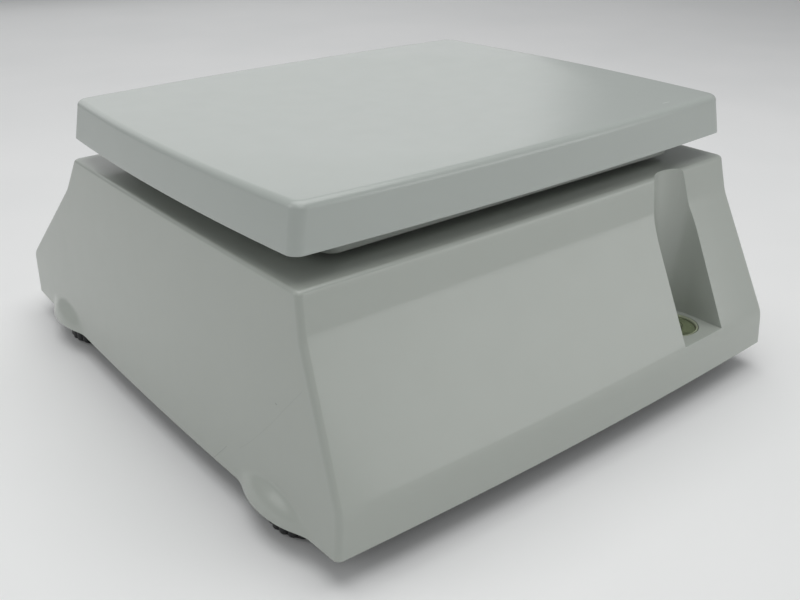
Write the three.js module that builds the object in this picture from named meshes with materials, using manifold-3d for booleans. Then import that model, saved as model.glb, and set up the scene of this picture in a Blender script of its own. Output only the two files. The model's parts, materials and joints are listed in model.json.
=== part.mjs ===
// Retail price scale: a counter weighing scale with a lift-off platter, a
// tapered housing, an operator console, a bull's-eye level in a side well and
// four levelling feet. Millimetres, +Z up, operator side towards -Y.
import * as THREE from 'three';
import { mergeVertices } from 'three/addons/utils/BufferGeometryUtils.js';
import Module from 'manifold-3d';

const wasm = await Module();
wasm.setup();

// ---------------------------------------------------------------- dimensions
const SHIFT_Y = 27.25;           // platter centre behind the origin (middle of the footprint)
const SHIFT_Z = 9;               // heights below are taken 9 above the table; the feet reach down to it
const WALL = 2.8;                // housing wall
const GAP = 0.3;                 // running gap between neighbouring pieces

const Z_BASE = 9;                // lower edge of the housing, 18 above the table
const Z_RIM = 138;               // deck of the housing
const HALF_X_RIM = 170;          // half width at the deck
const HALF_X_BASE = 182.3;       // half width at the lower edge
const REAR = [[9, 182], [33.5, 181.5], [114, 145], [138, 140]];          // [z, y]
const FRONT = [[9, -234], [39.5, -241], [112.5, -158], [138, -140]];     // [z, y]
const CORNER_R = 4;              // vertical corner radius
const BOW_END = [5, 1.5];        // crown of the end walls at the lower edge and at the deck
const BOW_REAR = [4.5, 1.5];     // crown of the rear wall, likewise

const FOOT_X = 158, FOOT_Y_REAR = 122, FOOT_Y_FRONT = -165;
const DOME = { x: 163, rx: 28.7, ry: 45.5, rz: 21 };   // bulge of the housing over each foot
const KNOB_R = 24.2, KNOB_LOBE = 1, KNOB_LOBES = 24, KNOB_Z0 = -9, KNOB_Z1 = 7, PAD_R = 21.5;
const STUD_R = 3.9;              // M8 thread

const WELL_X = -110.3, WELL_Y = 155, WELL_R = 20.2, WELL_FLOOR = 36.5;
const LEVEL_Y = 157, LEVEL_R = 17;

const PLATTER = { hx: 168.7, hy: 136.6, hxTop: 163.5, hyTop: 134.6, bowBase: 5, bowTop: 7,
  r: 6.5, z0: 153.6, z1: 179.3, wall: 3, under: 172.8, dishX: 150, dishY: 128, dish: 3.4 };
const FRAME = { hx: 138, hy: 119.5, z0: 141, z1: 167, wall: 3 };
const BUFFER = { x: 118, y: 98 };

const CELL = { x: 65, y: 15, z0: 92.3, z1: 114.3 };     // single-point load cell
const TRAY = { hx: 178.3, y0: -230.6, y1: 178.8, z0: 14, z1: 17 };
const POSTS = [[-140, 95], [140, 95], [-140, -137], [140, -137]];

const KEY_PITCH = 22, KEY = 18.6, KEY_X0 = 75, KEY_V0 = 22.25, KEY_TOP = 3.4;
const PANEL_V = 110.5;           // length of the console slope
const LCD = { x0: -156, x1: 42, v0: 22, v1: 88 };

const BATTERY = { x0: -150, x1: -80, y0: -120, y1: -19, z0: 17.4, z1: 64.4 };
const INLET_Y = 62, SWITCH_Y = 30, SIDE_Z = 48;

// ----------------------------------------------------------------- materials
const mat = (hex, roughness, metalness = 0) =>
  new THREE.MeshStandardMaterial({ color: hex, roughness, metalness });
const M = {
  housing: mat(0xa3a9a1, 0.42), platter: mat(0xb2b8b2, 0.38), dark: mat(0x2b2d2e, 0.55),
  black: mat(0x17181a, 0.5), steel: mat(0xa9abad, 0.35, 0.9), alu: mat(0xb6b8ba, 0.45, 0.85),
  rubber: mat(0x1c1c1d, 0.8), board: mat(0x24543a, 0.5), key: mat(0xd7d8d2, 0.45),
  window: mat(0x56605a, 0.12), lcd: mat(0x8b957c, 0.3), level: mat(0x6f7c55, 0.3),
  lens: mat(0xb9c48f, 0.08), battery: mat(0x34363a, 0.5),
};

// ------------------------------------------------------------------- helpers
const bare = (g) => {
  const c = g.clone();
  for (const k of Object.keys(c.attributes)) if (k !== 'position') c.deleteAttribute(k);
  return mergeVertices(c, 1e-4);
};
const solid = (g) => {
  const b = bare(g);
  return new wasm.Manifold(new wasm.Mesh({ numProp: 3,
    vertProperties: new Float32Array(b.attributes.position.array),
    triVerts: new Uint32Array(b.index.array) }));
};
const geometry = (m) => {
  const mesh = m.getMesh();
  const g = new THREE.BufferGeometry();
  g.setAttribute('position', new THREE.BufferAttribute(new Float32Array(mesh.vertProperties), 3));
  g.setIndex(new THREE.BufferAttribute(new Uint32Array(mesh.triVerts), 1));
  g.computeVertexNormals();
  return g;
};
const box = (x0, x1, y0, y1, z0, z1, m) => {
  const g = new THREE.BoxGeometry(x1 - x0, y1 - y0, z1 - z0);
  g.translate((x0 + x1) / 2, (y0 + y1) / 2, (z0 + z1) / 2);
  if (m) g.applyMatrix4(m);
  return solid(g);
};
const rod = (r, z0, z1, x = 0, y = 0, seg = 16, m) => {
  const g = new THREE.CylinderGeometry(r, r, z1 - z0, seg);
  g.rotateX(Math.PI / 2).translate(x, y, (z0 + z1) / 2);
  if (m) g.applyMatrix4(m);
  return solid(g);
};
const rodY = (r, x, z, y0, y1, seg = 24) => {
  const g = new THREE.CylinderGeometry(r, r, y1 - y0, seg);
  g.translate(x, (y0 + y1) / 2, z);
  return solid(g);
};
// closed solid through a stack of rings with the same number of points
const loft = (rings) => {
  const n = rings[0].length, pos = [], idx = [];
  for (const ring of rings) for (const p of ring) pos.push(...p);
  for (let k = 0; k + 1 < rings.length; k++)
    for (let i = 0; i < n; i++) {
      const j = (i + 1) % n, a = k * n + i, b = k * n + j, c = a + n, d = b + n;
      idx.push(a, b, d, a, d, c);
    }
  for (const [k, flip] of [[0, true], [rings.length - 1, false]]) {
    const c = [0, 0, 0];
    for (const p of rings[k]) for (let q = 0; q < 3; q++) c[q] += p[q] / n;
    const ci = pos.length / 3;
    pos.push(...c);
    for (let i = 0; i < n; i++) {
      const a = k * n + i, b = k * n + (i + 1) % n;
      if (flip) idx.push(ci, b, a); else idx.push(ci, a, b);
    }
  }
  const g = new THREE.BufferGeometry();
  g.setAttribute('position', new THREE.Float32BufferAttribute(pos, 3));
  g.setIndex(idx);
  return solid(g);
};
// rounded rectangle at height z, its sides crowned outwards at their middles:
// bow is one number for all four sides, or [ends, front, rear]
const ring = (hx, y0, y1, r, z, bow = 0, arc = 2, side = 1) => {
  const [bowEnd, bowFront, bowRear] = Array.isArray(bow) ? bow : [bow, bow, bow];
  const yc = (y0 + y1) / 2, hy = (y1 - y0) / 2, out = [];
  const corners = [[1, 1, 0], [-1, 1, 1], [-1, -1, 2], [1, -1, 3]];
  for (const [sx, sy, q] of corners)
    for (let i = 0; i <= arc; i++) {
      const a = (q + i / arc) * Math.PI / 2;
      out.push([sx * (hx - r) + r * Math.cos(a), sy * (hy - r) + r * Math.sin(a)]);
    }
  const dense = [];
  for (let i = 0; i < out.length; i++) {
    const p = out[i], q = out[(i + 1) % out.length];
    dense.push(p);
    if (i % (arc + 1) === arc)
      for (let k = 1; k < side; k++) {
        const t = k / side;
        dense.push([p[0] + (q[0] - p[0]) * t, p[1] + (q[1] - p[1]) * t]);
      }
  }
  return dense.map(([x, v]) => {
    const X = x + x / hx * bowEnd * Math.max(0, 1 - (v / hy) ** 2);
    const V = v + v / hy * (v > 0 ? bowRear : bowFront) * Math.max(0, 1 - (x / hx) ** 2);
    return [X, yc + V, z];
  });
};
const at = (table, z) => {
  for (let i = 0; i + 1 < table.length; i++) {
    const [z0, y0] = table[i], [z1, y1] = table[i + 1];
    if (z <= z1 || i + 2 === table.length) return y0 + (y1 - y0) * (z - z0) / (z1 - z0);
  }
};
// profile moved inwards by t, each segment along its own normal
const inset = (table, t, sign) => {
  const lines = [];
  for (let i = 0; i + 1 < table.length; i++) {
    const [z0, y0] = table[i], [z1, y1] = table[i + 1];
    const k = (y1 - y0) / (z1 - z0);
    lines.push([k, y0 - k * z0 - sign * t * Math.hypot(1, k)]);
  }
  const out = [[0, lines[0][1]]];
  for (let i = 0; i + 1 < lines.length; i++) {
    const [k0, c0] = lines[i], [k1, c1] = lines[i + 1];
    const z = (c1 - c0) / (k0 - k1);
    out.push([z, k0 * z + c0]);
  }
  const [k, c] = lines[lines.length - 1];
  out.push([150, k * 150 + c]);
  return out;
};
const halfX = (z) => HALF_X_BASE + (HALF_X_RIM - HALF_X_BASE) * (z - Z_BASE) / (Z_RIM - Z_BASE);
const bowAt = (z) => {
  const t = Math.min(1, Math.max(0, (z - Z_BASE) / (Z_RIM - Z_BASE)));
  const mix = ([a, b]) => a + (b - a) * t;
  return [mix(BOW_END), 0, mix(BOW_REAR)];
};
// half width of the crowned end wall at (y, z)
const wallX = (y, z) => {
  const y0 = at(FRONT, z), y1 = at(REAR, z), v = (y - (y0 + y1) / 2) / ((y1 - y0) / 2);
  return halfX(z) + bowAt(z)[0] * (1 - v * v);
};

const model = new THREE.Group();
model.position.set(0, SHIFT_Y, SHIFT_Z);
const add = (name, m, material, parent = model) => {
  const mesh = new THREE.Mesh(m.isBufferGeometry ? m : geometry(m), material);
  mesh.name = name;
  parent.add(mesh);
  return mesh;
};

// console frame: x across, y up the slope, z out of the slope
const slope = Math.atan2(FRONT[2][0] - FRONT[1][0], FRONT[2][1] - FRONT[1][1]);
const consoleM = new THREE.Matrix4().makeRotationX(slope).setPosition(0, FRONT[1][1], FRONT[1][0]);
const consoleGroup = new THREE.Group();
consoleGroup.applyMatrix4(consoleM);
model.add(consoleGroup);

// side frame on the -X wall: x towards the operator, y up the wall, z outwards
const sideFrame = (y) => {
  const up = new THREE.Vector3(wallX(y, SIDE_Z - 5) - wallX(y, SIDE_Z + 5), 0, 10).normalize();
  const along = new THREE.Vector3(wallX(y + 5, SIDE_Z) - wallX(y - 5, SIDE_Z), -10, 0).normalize();
  const out = along.clone().cross(up).normalize();
  return new THREE.Matrix4().makeBasis(along, out.clone().cross(along), out)
    .setPosition(-wallX(y, SIDE_Z), y, SIDE_Z);
};
const inletM = sideFrame(INLET_Y), switchM = sideFrame(SWITCH_Y);

// ------------------------------------------------------------- upper housing
const levels = [Z_BASE, 33.5, 39.5, 112.5, 114, Z_RIM - 2.2];
const outer = loft([
  ...levels.map((z) => ring(halfX(z), at(FRONT, z), at(REAR, z), CORNER_R, z, bowAt(z), 2, 8)),
  ring(HALF_X_RIM - 2, at(FRONT, Z_RIM) + 2, at(REAR, Z_RIM) - 2, CORNER_R - 1, Z_RIM, bowAt(Z_RIM), 2, 8),
]);
const frontIn = inset(FRONT, WALL, -1), rearIn = inset(REAR, WALL, 1);
const inLevels = [...new Set([0, 14, ...frontIn.slice(1, -1).map((p) => p[0]),
  ...rearIn.slice(1, -1).map((p) => p[0]), Z_RIM - WALL])].sort((a, b) => a - b);
const inner = loft(inLevels.map((z) =>
  ring(halfX(z) - WALL, at(frontIn, z), at(rearIn, z), 2, z, bowAt(z), 2, 8)));
const ellipsoid = (x, y, k) => {
  const g = new THREE.SphereGeometry(1, 32, 12);
  g.rotateX(Math.PI / 2).scale(DOME.rx - k, DOME.ry - k, DOME.rz - k).translate(x, y, Z_BASE);
  return solid(g);
};
const feet = [[FOOT_X, FOOT_Y_REAR], [-FOOT_X, FOOT_Y_REAR], [FOOT_X, FOOT_Y_FRONT], [-FOOT_X, FOOT_Y_FRONT]];
const above = box(-250, 250, -300, 300, Z_BASE, 200);
const channel = (k, z0) => box(WELL_X - WELL_R - k, WELL_X + WELL_R + k, WELL_Y, 260, z0, 160)
  .add(rod(WELL_R + k, z0, 160, WELL_X, WELL_Y, 48));
let shell = outer;
for (const [x, y] of feet) shell = shell.add(ellipsoid(Math.sign(x) * DOME.x, y, 0).intersect(above));
shell = shell.subtract(inner);
for (const [x, y] of feet) shell = shell.subtract(ellipsoid(Math.sign(x) * DOME.x, y, WALL));
shell = shell.add(outer.intersect(channel(WALL, WELL_FLOOR - WALL)))
  .subtract(channel(0, WELL_FLOOR))
  .subtract(rod(LEVEL_R + GAP, 20, 60, WELL_X, LEVEL_Y, 36));
for (const [x, y] of POSTS)
  shell = shell.add(outer.intersect(rod(5, TRAY.z1 + GAP, 150, x, y, 12)))
    .subtract(rod(1.9, 0, TRAY.z1 + 22, x, y, 16));
shell = shell.subtract(box(24, 74, -24, 24, 130, 150));       // load path through the deck
// console recesses and openings
const kx0 = KEY_X0 - KEY_PITCH / 2 - 4, kx1 = KEY_X0 + 3.5 * KEY_PITCH + 4;
const kv0 = KEY_V0 - KEY_PITCH / 2 - 4, kv1 = KEY_V0 + 3.5 * KEY_PITCH + 4;
for (const [x, v] of [[kx0 - 1, kv0 + 4], [kx1 + 1, kv0 + 4], [kx0 - 1, kv1 - 4], [kx1 + 1, kv1 - 4]])
  shell = shell.add(box(x - 3, x + 3, v - 3, v + 3, -8.6 + GAP, -1.5, consoleM));
shell = shell.subtract(box(kx0, kx1, kv0, kv1, -1.6, 10, consoleM))
  .subtract(box(kx0 + 3.5, kx1 - 3.5, kv0 + 3.5, kv1 - 3.5, -7.5, 10, consoleM))
  .subtract(box(LCD.x0, LCD.x1, LCD.v0, LCD.v1, -1.6, 10, consoleM))
  .subtract(box(LCD.x0 + 5, LCD.x1 - 5, LCD.v0 + 5, LCD.v1 - 5, -10, 10, consoleM))
  .subtract(rod(6.2, -20, 20, 0, 0, 24, inletM))
  .subtract(box(-7.1, 7.1, -11.1, 11.1, -20, 20, switchM));
add('upper_housing', shell, M.housing);

// ------------------------------------------------------------------ base tray
const door = { x0: -153, x1: -77, y0: -123.5, y1: -16.5 };
let tray = loft([TRAY.z0, TRAY.z1].map((z) => ring(TRAY.hx, TRAY.y0, TRAY.y1, 3, z)));
for (const [x, y] of feet) tray = tray.add(rod(8, TRAY.z0, 32, x, y, 12));
tray = tray.add(box(-78, 46, -34, -31.2, 16, 27)).add(box(-78, 46, 31.2, 34, 16, 27))
  .add(box(-120, 125, 118, 121, 16, 27)).add(box(-120, 120, -196, -193, 16, 24))
  .add(box(door.x0 - 2.2, door.x1 + 2.2, door.y0 - 2.2, door.y0, 16, 30))
  .add(box(door.x0 - 2.2, door.x1 + 2.2, door.y1, door.y1 + 2.2, 16, 30))
  .add(box(door.x0 - 2.2, door.x0, door.y0 - 2.2, door.y1 + 2.2, 16, 30))
  .add(box(door.x1, door.x1 + 2.2, door.y0 - 2.2, door.y1 + 2.2, 16, 30));
const boardHoles = [[5, -165], [115, -165], [5, -95], [115, -95]];
for (const [x, y] of boardHoles) tray = tray.add(rod(3.5, 16, 24.7, x, y, 16));
for (const [x, y] of feet) tray = tray.subtract(rod(STUD_R + GAP, 0, 40, x, y, 14));
for (const [x, y] of POSTS) tray = tray.subtract(rod(2.2, 0, 40, x, y, 16));
tray = tray.subtract(box(door.x0, door.x1, door.y0, door.y1, 0, 40));
add('base_tray', tray, M.dark);

for (const [i, [x, y]] of POSTS.entries())
  add(`housing_screw_${i + 1}`, rod(4, 11.4, TRAY.z0 - GAP, x, y, 12).add(rod(1.6, 13, TRAY.z1 + 18, x, y, 12)), M.steel);

// ----------------------------------------------------------------------- feet
const knobShape = new THREE.Shape();
for (let i = 0; i <= KNOB_LOBES * 4; i++) {
  const a = i / (KNOB_LOBES * 4) * Math.PI * 2, r = KNOB_R + KNOB_LOBE * Math.cos(a * KNOB_LOBES);
  if (i === 0) knobShape.moveTo(r, 0);
  else if (i < KNOB_LOBES * 4) knobShape.lineTo(r * Math.cos(a), r * Math.sin(a));
}
knobShape.closePath();
const FOOT_NAMES = ['rear_right', 'rear_left', 'front_right', 'front_left'];
for (const [i, [x, y]] of feet.entries()) {
  const g = new THREE.ExtrudeGeometry(knobShape, { depth: KNOB_Z1 - KNOB_Z0 - 2.4, bevelEnabled: false });
  g.translate(x, y, KNOB_Z0 + 2.4);
  const knob = solid(g).add(rod(PAD_R, KNOB_Z0, KNOB_Z0 + 3, x, y, 24)).subtract(rod(STUD_R + GAP, KNOB_Z0 + 4, 20, x, y, 14));
  add(`foot_knob_${FOOT_NAMES[i]}`, knob, M.black);
  add(`foot_stud_${FOOT_NAMES[i]}`, rod(STUD_R, KNOB_Z0 + 4 + GAP, 37, x, y, 14), M.steel);
}

// -------------------------------------------------------------- bubble level
const level = rod(LEVEL_R, 26, WELL_FLOOR - 0.2, WELL_X, LEVEL_Y, 36)
  .add(rod(LEVEL_R + 3, 30, WELL_FLOOR - WALL - GAP, WELL_X, LEVEL_Y, 36))
  .subtract(rod(15.6, 28, 60, WELL_X, LEVEL_Y, 36));
add('level_body', level, M.level);
add('level_fluid', rod(15.3, 28.3, 32.6, WELL_X, LEVEL_Y, 30), M.level);
const lens = new THREE.LatheGeometry([[0, 32.9], [15.3, 32.9], [15.3, 35.2], [12, 35.9], [6, 36.4], [0, 36.5]]
  .map(([r, z]) => new THREE.Vector2(r, z)), 30);
lens.rotateX(Math.PI / 2).translate(WELL_X, LEVEL_Y, 0);
add('level_lens', solid(lens), M.lens);

// ----------------------------------------------------- load cell and its seat
const pedestal = box(-74, 44, -30, 30, TRAY.z1 + GAP, 23)
  .add(box(-66, -34, -15, 15, 22, CELL.z0 - GAP))
  .add(box(-36, 66, -13, 13, 70, 80))
  .add(box(-36, 40, -4, 4, 22, 71))
  .subtract(rod(3.3, 60, 90, 50, 0, 12))
  .subtract(rod(3.2, 74, 100, -58, 0, 12)).subtract(rod(3.2, 74, 100, -42, 0, 12));
add('load_cell_pedestal', pedestal, M.alu);
add('overload_stop_screw', rod(5, 64.5, 69.6, 50, 0, 6).add(rod(2.9, 69, 91.4, 50, 0, 12)), M.steel);
const cell = box(-CELL.x, CELL.x, -CELL.y, CELL.y, CELL.z0, CELL.z1)
  .subtract(rodY(8, -13, 103.3, -20, 20)).subtract(rodY(8, 13, 103.3, -20, 20))
  .subtract(box(-13, 13, -20, 20, 100.5, 106.1))
  .subtract(rod(3.3, 80, 130, -58, 0, 12)).subtract(rod(3.3, 80, 130, -42, 0, 12))
  .subtract(rod(3.3, 98, 130, 57, -8, 12)).subtract(rod(3.3, 98, 130, 57, 8, 12));
add('load_cell', cell, M.alu);
add('cell_bolt_fixed_outer', rod(5, CELL.z1 + GAP, 119.6, -58, 0, 12).add(rod(2.9, 76, 116, -58, 0, 12)), M.steel);
add('cell_bolt_fixed_inner', rod(5, CELL.z1 + GAP, 119.6, -42, 0, 12).add(rod(2.9, 76, 116, -42, 0, 12)), M.steel);
const riser = box(34, CELL.x, -CELL.y, CELL.y, CELL.z1 + 0.5, 120.5)
  .add(box(34, 48, -13, 13, 118, 148)).add(box(28, 70, -20, 20, 146, 150))
  .subtract(rod(3.3, 110, 130, 57, -8, 12)).subtract(rod(3.3, 110, 130, 57, 8, 12));
add('platter_riser', riser, M.alu);
for (const [n, y] of [['front', -8], ['rear', 8]])
  add(`cell_bolt_moving_${n}`, rod(5, 120.8, 125.8, 57, y, 12).add(rod(2.9, 100, 122, 57, y, 12)), M.steel);

// ------------------------------------------------------------ platter support
const frame = loft([FRAME.z0, FRAME.z1].map((z) => ring(FRAME.hx, -FRAME.hy, FRAME.hy, 8, z, 0, 4)))
  .subtract(loft([FRAME.z0 - 5, FRAME.z1 - FRAME.wall].map((z) =>
    ring(FRAME.hx - FRAME.wall, -FRAME.hy + FRAME.wall, FRAME.hy - FRAME.wall, 5, z, 0, 4))))
  .add(box(30, 66, -18, 18, 150 + GAP, FRAME.z1 - 1))
  .add(box(-130, 130, -1.5, 1.5, 152, FRAME.z1 - 1).subtract(box(26, 72, -30, 30, 100, 150.2)));
let frameCut = frame;
for (const sx of [-1, 1]) for (const sy of [-1, 1])
  frameCut = frameCut.subtract(rod(3.9, 150, 180, sx * BUFFER.x, sy * BUFFER.y, 20));
add('platter_frame', frameCut, M.housing);
for (const [sx, sy, n] of [[1, 1, 'rear_right'], [-1, 1, 'rear_left'], [1, -1, 'front_right'], [-1, -1, 'front_left']]) {
  const g = new THREE.LatheGeometry([[0, 160], [3.2, 160], [3.6, 161], [3.6, FRAME.z1 + GAP], [8, FRAME.z1 + GAP],
    [8, 171.6], [7, PLATTER.under - GAP], [0, PLATTER.under - GAP]].map(([r, z]) => new THREE.Vector2(r, z)), 14);
  g.rotateX(Math.PI / 2).translate(sx * BUFFER.x, sy * BUFFER.y, 0);
  add(`platter_buffer_${n}`, solid(g), M.rubber);
}

// -------------------------------------------------------------------- platter
const P = PLATTER, pr = (hx, hy, r, z, bow) => ring(hx, -hy, hy, r, z, bow, 3, 6);
const mid = (t) => [P.hx + (P.hxTop - P.hx) * t, P.hy + (P.hyTop - P.hy) * t, P.bowBase + (P.bowTop - P.bowBase) * t];
const [mx, my, mb] = mid(0.8);
const platterOuter = loft([
  pr(P.hx, P.hy, P.r, P.z0, P.bowBase), pr(mx, my, P.r, P.z1 - 5.2, mb),
  pr(mx - 1.6, my - 1.6, P.r - 1, P.z1 - 2, mb), pr(mx - 5.4, my - 5.4, P.r - 4, P.z1, mb)]);
const platterInner = loft([
  pr(P.hx - P.wall, P.hy - P.wall, P.r - 3, P.z0 - 4, P.bowBase),
  pr(mx - P.wall - 0.6, my - P.wall - 0.6, P.r - 3.2, P.under - 2, mb),
  pr(mx - P.wall - 3, my - P.wall - 3, P.r - 4, P.under, mb)]);
const dishPts = [[0, P.z1 - P.dish]];
for (let i = 1; i <= 5; i++) dishPts.push([i / 5, P.z1 - P.dish * (1 - (i / 5) ** 2)]);
const dishGeo = new THREE.LatheGeometry([...dishPts, [1.02, P.z1 + 4], [0, P.z1 + 4]]
  .map(([r, z]) => new THREE.Vector2(r, z)), 36);
dishGeo.rotateX(Math.PI / 2).scale(P.dishX, P.dishY, 1);
add('platter', platterOuter.subtract(platterInner).subtract(solid(dishGeo)), M.platter);

// -------------------------------------------------------------------- console
const G = consoleGroup;
let keypad = box(kx0 + GAP, kx1 - GAP, kv0 + GAP, kv1 - GAP, -1.3, 0.8);
const KEYS = [['7', '8', '9', 'tare'], ['4', '5', '6', 'zero'], ['1', '2', '3', 'add'], ['clear', '0', 'point', 'total']];
for (let r = 0; r < 4; r++) for (let c = 0; c < 4; c++) {
  const x = KEY_X0 + c * KEY_PITCH, v = KEY_V0 + (3 - r) * KEY_PITCH, h = KEY / 2;
  keypad = keypad.subtract(box(x - h - GAP, x + h + GAP, v - h - GAP, v + h + GAP, -5, 5));
  const cap = loft([ring(h, -h, h, 2, -4.6), ring(h, -h, h, 2, 2.2),
    ring(h - 1.2, -h + 1.2, h - 1.2, 1.6, KEY_TOP)].map((q) => q.map(([a, b, z]) => [a, b, z])));
  const skirt = box(-h - 0.9, h + 0.9, -h - 0.9, h + 0.9, -4.6, -3.6);
  const key = add(`key_${KEYS[r][c]}`, cap.add(skirt), M.key, G);
  key.position.set(x, v, 0);
}
add('keypad_frame', keypad, M.dark, G);
let keyBoard = box(kx0 - 5, kx1 + 5, kv0 - 1, kv1 + 1, -10.2, -8.6);
for (let r = 0; r < 4; r++) for (let c = 0; c < 4; c++)
  keyBoard = keyBoard.add(rod(2.6, -9, -7.4, KEY_X0 + c * KEY_PITCH, KEY_V0 + r * KEY_PITCH, 8));
add('key_board', keyBoard, M.board, G);
add('display_window', box(LCD.x0 + GAP, LCD.x1 - GAP, LCD.v0 + GAP, LCD.v1 - GAP, -1.3, 0.3), M.window, G);
add('display_lcd', box(LCD.x0 + 7, LCD.x1 - 7, LCD.v0 + 7, LCD.v1 - 7, -6.6, -3.4), M.lcd, G);
add('display_board', box(LCD.x0 + 2, LCD.x1 - 2, LCD.v0 - 1, LCD.v1 + 1, -8.5, -6.9)
  .add(box(LCD.x0 + 60, LCD.x0 + 84, LCD.v0 + 20, LCD.v0 + 44, -10.2, -8)), M.board, G);

// ------------------------------------------------------------ electronics bay
let board = box(0, 120, -170, -90, 25, 26.6).add(box(40, 66, -150, -124, 26, 28.8))
  .add(box(8, 34, -100, -93, 26, 34)).add(box(84, 112, -166, -158, 26, 33))
  .add(rod(5, 26, 39, 92, -112, 20)).add(rod(4, 26, 36, 78, -112, 20));
for (const [x, y] of boardHoles) board = board.subtract(rod(1.6, 20, 30, x, y, 12));
add('main_board', board, M.board);
const B = BATTERY;
add('battery', box(B.x0, B.x1, B.y0, B.y1, B.z0, B.z1 - 3)
  .add(box(B.x0 + 2, B.x1 - 2, B.y0 + 2, B.y1 - 2, B.z1 - 3.5, B.z1))
  .add(box(B.x0 + 6, B.x0 + 11, B.y0 + 8, B.y0 + 9, B.z1 - 1, B.z1 + 5))
  .add(box(B.x0 + 6, B.x0 + 11, B.y0 + 26, B.y0 + 27, B.z1 - 1, B.z1 + 5)), M.battery);
add('battery_door', box(door.x0 + GAP, door.x1 - GAP, door.y0 + GAP, door.y1 - GAP, 13, 17)
  .add(box(door.x0 - 4, door.x1 + 4, door.y0 - 4, door.y1 + 4, 11.4, TRAY.z0 - GAP))
  .subtract(box(-125, -105, -74, -66, 10, 12.6)), M.dark);

// -------------------------------------------------------- power inlet, switch
const jack = new THREE.LatheGeometry([[0, -13], [5.8, -13], [5.8, GAP], [8, GAP], [8, 1.9], [3.1, 1.9], [3.1, -9],
  [1.05, -9], [1.05, 0.6], [0, 0.6]].map(([r, z]) => new THREE.Vector2(r, z)), 16);
jack.rotateX(Math.PI / 2);
const inletGroup = new THREE.Group();
inletGroup.applyMatrix4(inletM);
const switchGroup = new THREE.Group();
switchGroup.applyMatrix4(switchM);
model.add(inletGroup, switchGroup);
add('power_inlet', solid(jack), M.black, inletGroup);
add('switch_body', box(-8.4, 8.4, -12.4, 12.4, GAP, 2.1).add(box(-6.8, 6.8, -10.8, 10.8, -16, 1))
  .add(box(-5, -4.2, -6, -2, -21, -15)).add(box(-5, -4.2, 2, 6, -21, -15))
  .subtract(box(-5.3, 5.3, -8.9, 8.9, -9, 5)), M.black, switchGroup);
const rockerShape = new THREE.Shape([[-7.4, -4], [7.4, -4], [7.9, 3.4], [0, 1.6], [-7.9, 3.4]]
  .map(([a, b]) => new THREE.Vector2(a, b)));
const rocker = new THREE.ExtrudeGeometry(rockerShape, { depth: 9.8, bevelEnabled: false });
rocker.translate(0, 0, -4.9).applyMatrix4(new THREE.Matrix4().makeBasis(
  new THREE.Vector3(0, 1, 0), new THREE.Vector3(0, 0, 1), new THREE.Vector3(1, 0, 0)));
rocker.rotateX(-9 * Math.PI / 180);
add('power_rocker', solid(rocker), M.dark, switchGroup);

export default model;
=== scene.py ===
import json
import math

import bmesh
import bpy
from mathutils import Matrix, Vector

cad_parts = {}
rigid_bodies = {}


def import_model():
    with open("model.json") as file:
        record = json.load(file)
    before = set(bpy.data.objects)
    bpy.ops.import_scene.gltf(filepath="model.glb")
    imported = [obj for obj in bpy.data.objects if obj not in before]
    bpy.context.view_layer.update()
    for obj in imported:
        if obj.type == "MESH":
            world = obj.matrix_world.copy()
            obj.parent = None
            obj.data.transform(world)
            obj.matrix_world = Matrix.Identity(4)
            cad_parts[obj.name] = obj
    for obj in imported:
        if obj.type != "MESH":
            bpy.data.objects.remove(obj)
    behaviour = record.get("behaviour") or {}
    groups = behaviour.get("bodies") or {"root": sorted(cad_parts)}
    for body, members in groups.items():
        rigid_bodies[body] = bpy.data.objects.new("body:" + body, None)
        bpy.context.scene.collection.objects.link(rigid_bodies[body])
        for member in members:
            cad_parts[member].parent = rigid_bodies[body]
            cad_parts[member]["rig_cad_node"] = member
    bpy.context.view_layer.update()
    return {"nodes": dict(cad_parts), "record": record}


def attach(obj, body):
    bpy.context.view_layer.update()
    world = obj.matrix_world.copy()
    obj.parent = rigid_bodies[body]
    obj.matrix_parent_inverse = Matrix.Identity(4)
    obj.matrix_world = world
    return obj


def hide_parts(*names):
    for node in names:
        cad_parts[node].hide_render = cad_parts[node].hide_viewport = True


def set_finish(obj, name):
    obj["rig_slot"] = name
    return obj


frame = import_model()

NODES = frame["nodes"]
D = bpy.data
TAU = 2 * math.pi

# All shapes below are worked out in millimetres about the platter's centre and
# brought into the frame (metres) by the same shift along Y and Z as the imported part.
SHIFT = 27.25
SHIFT_Z = 9.0
MM = 0.001


def P(x, y, z):
    return Vector((x * MM, (y + SHIFT) * MM, (z + SHIFT_Z) * MM))


# ------------------------------------------------------------------ dimensions
WALL = 2.8
Z_BASE, Z_RIM = 9.0, 138.0
REAR = [(9, 182), (33.5, 181.5), (114, 145), (138, 140)]
FRONT = [(9, -234), (39.5, -241), (112.5, -158), (138, -140)]
FOOT_X, FOOT_Y = 158.0, (122.0, -165.0)
DOME_X, DOME = 163.0, (28.7, 45.5, 21.0)
WELL_X, WELL_Y, WELL_R, WELL_FLOOR = -110.3, 155.0, 20.2, 36.5
LEVEL_Y, LEVEL_R = 157.0, 17.0
POSTS = [(-140, 95), (140, 95), (-140, -137), (140, -137)]
SLOPE = math.atan2(73, 83)
KEY_PITCH, KEY, KEY_X0, KEY_V0 = 22.0, 18.6, 75.0, 22.25
LCD = (-156.0, 42.0, 22.0, 88.0)
INLET_Y, SWITCH_Y, SIDE_Z = 62.0, 30.0, 48.0


def at(table, z):
    for i in range(len(table) - 1):
        (z0, y0), (z1, y1) = table[i], table[i + 1]
        if z <= z1 or i == len(table) - 2:
            return y0 + (y1 - y0) * (z - z0) / (z1 - z0)


def soft(table, z, w):
    """The profile with its creases rounded over w each way."""
    n = 16
    return sum(at(table, z + w * (k / n)) for k in range(-n, n + 1)) / (2 * n + 1)


def half_x(z):
    return 182.3 - 12.3 * (z - 9) / 129


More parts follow.
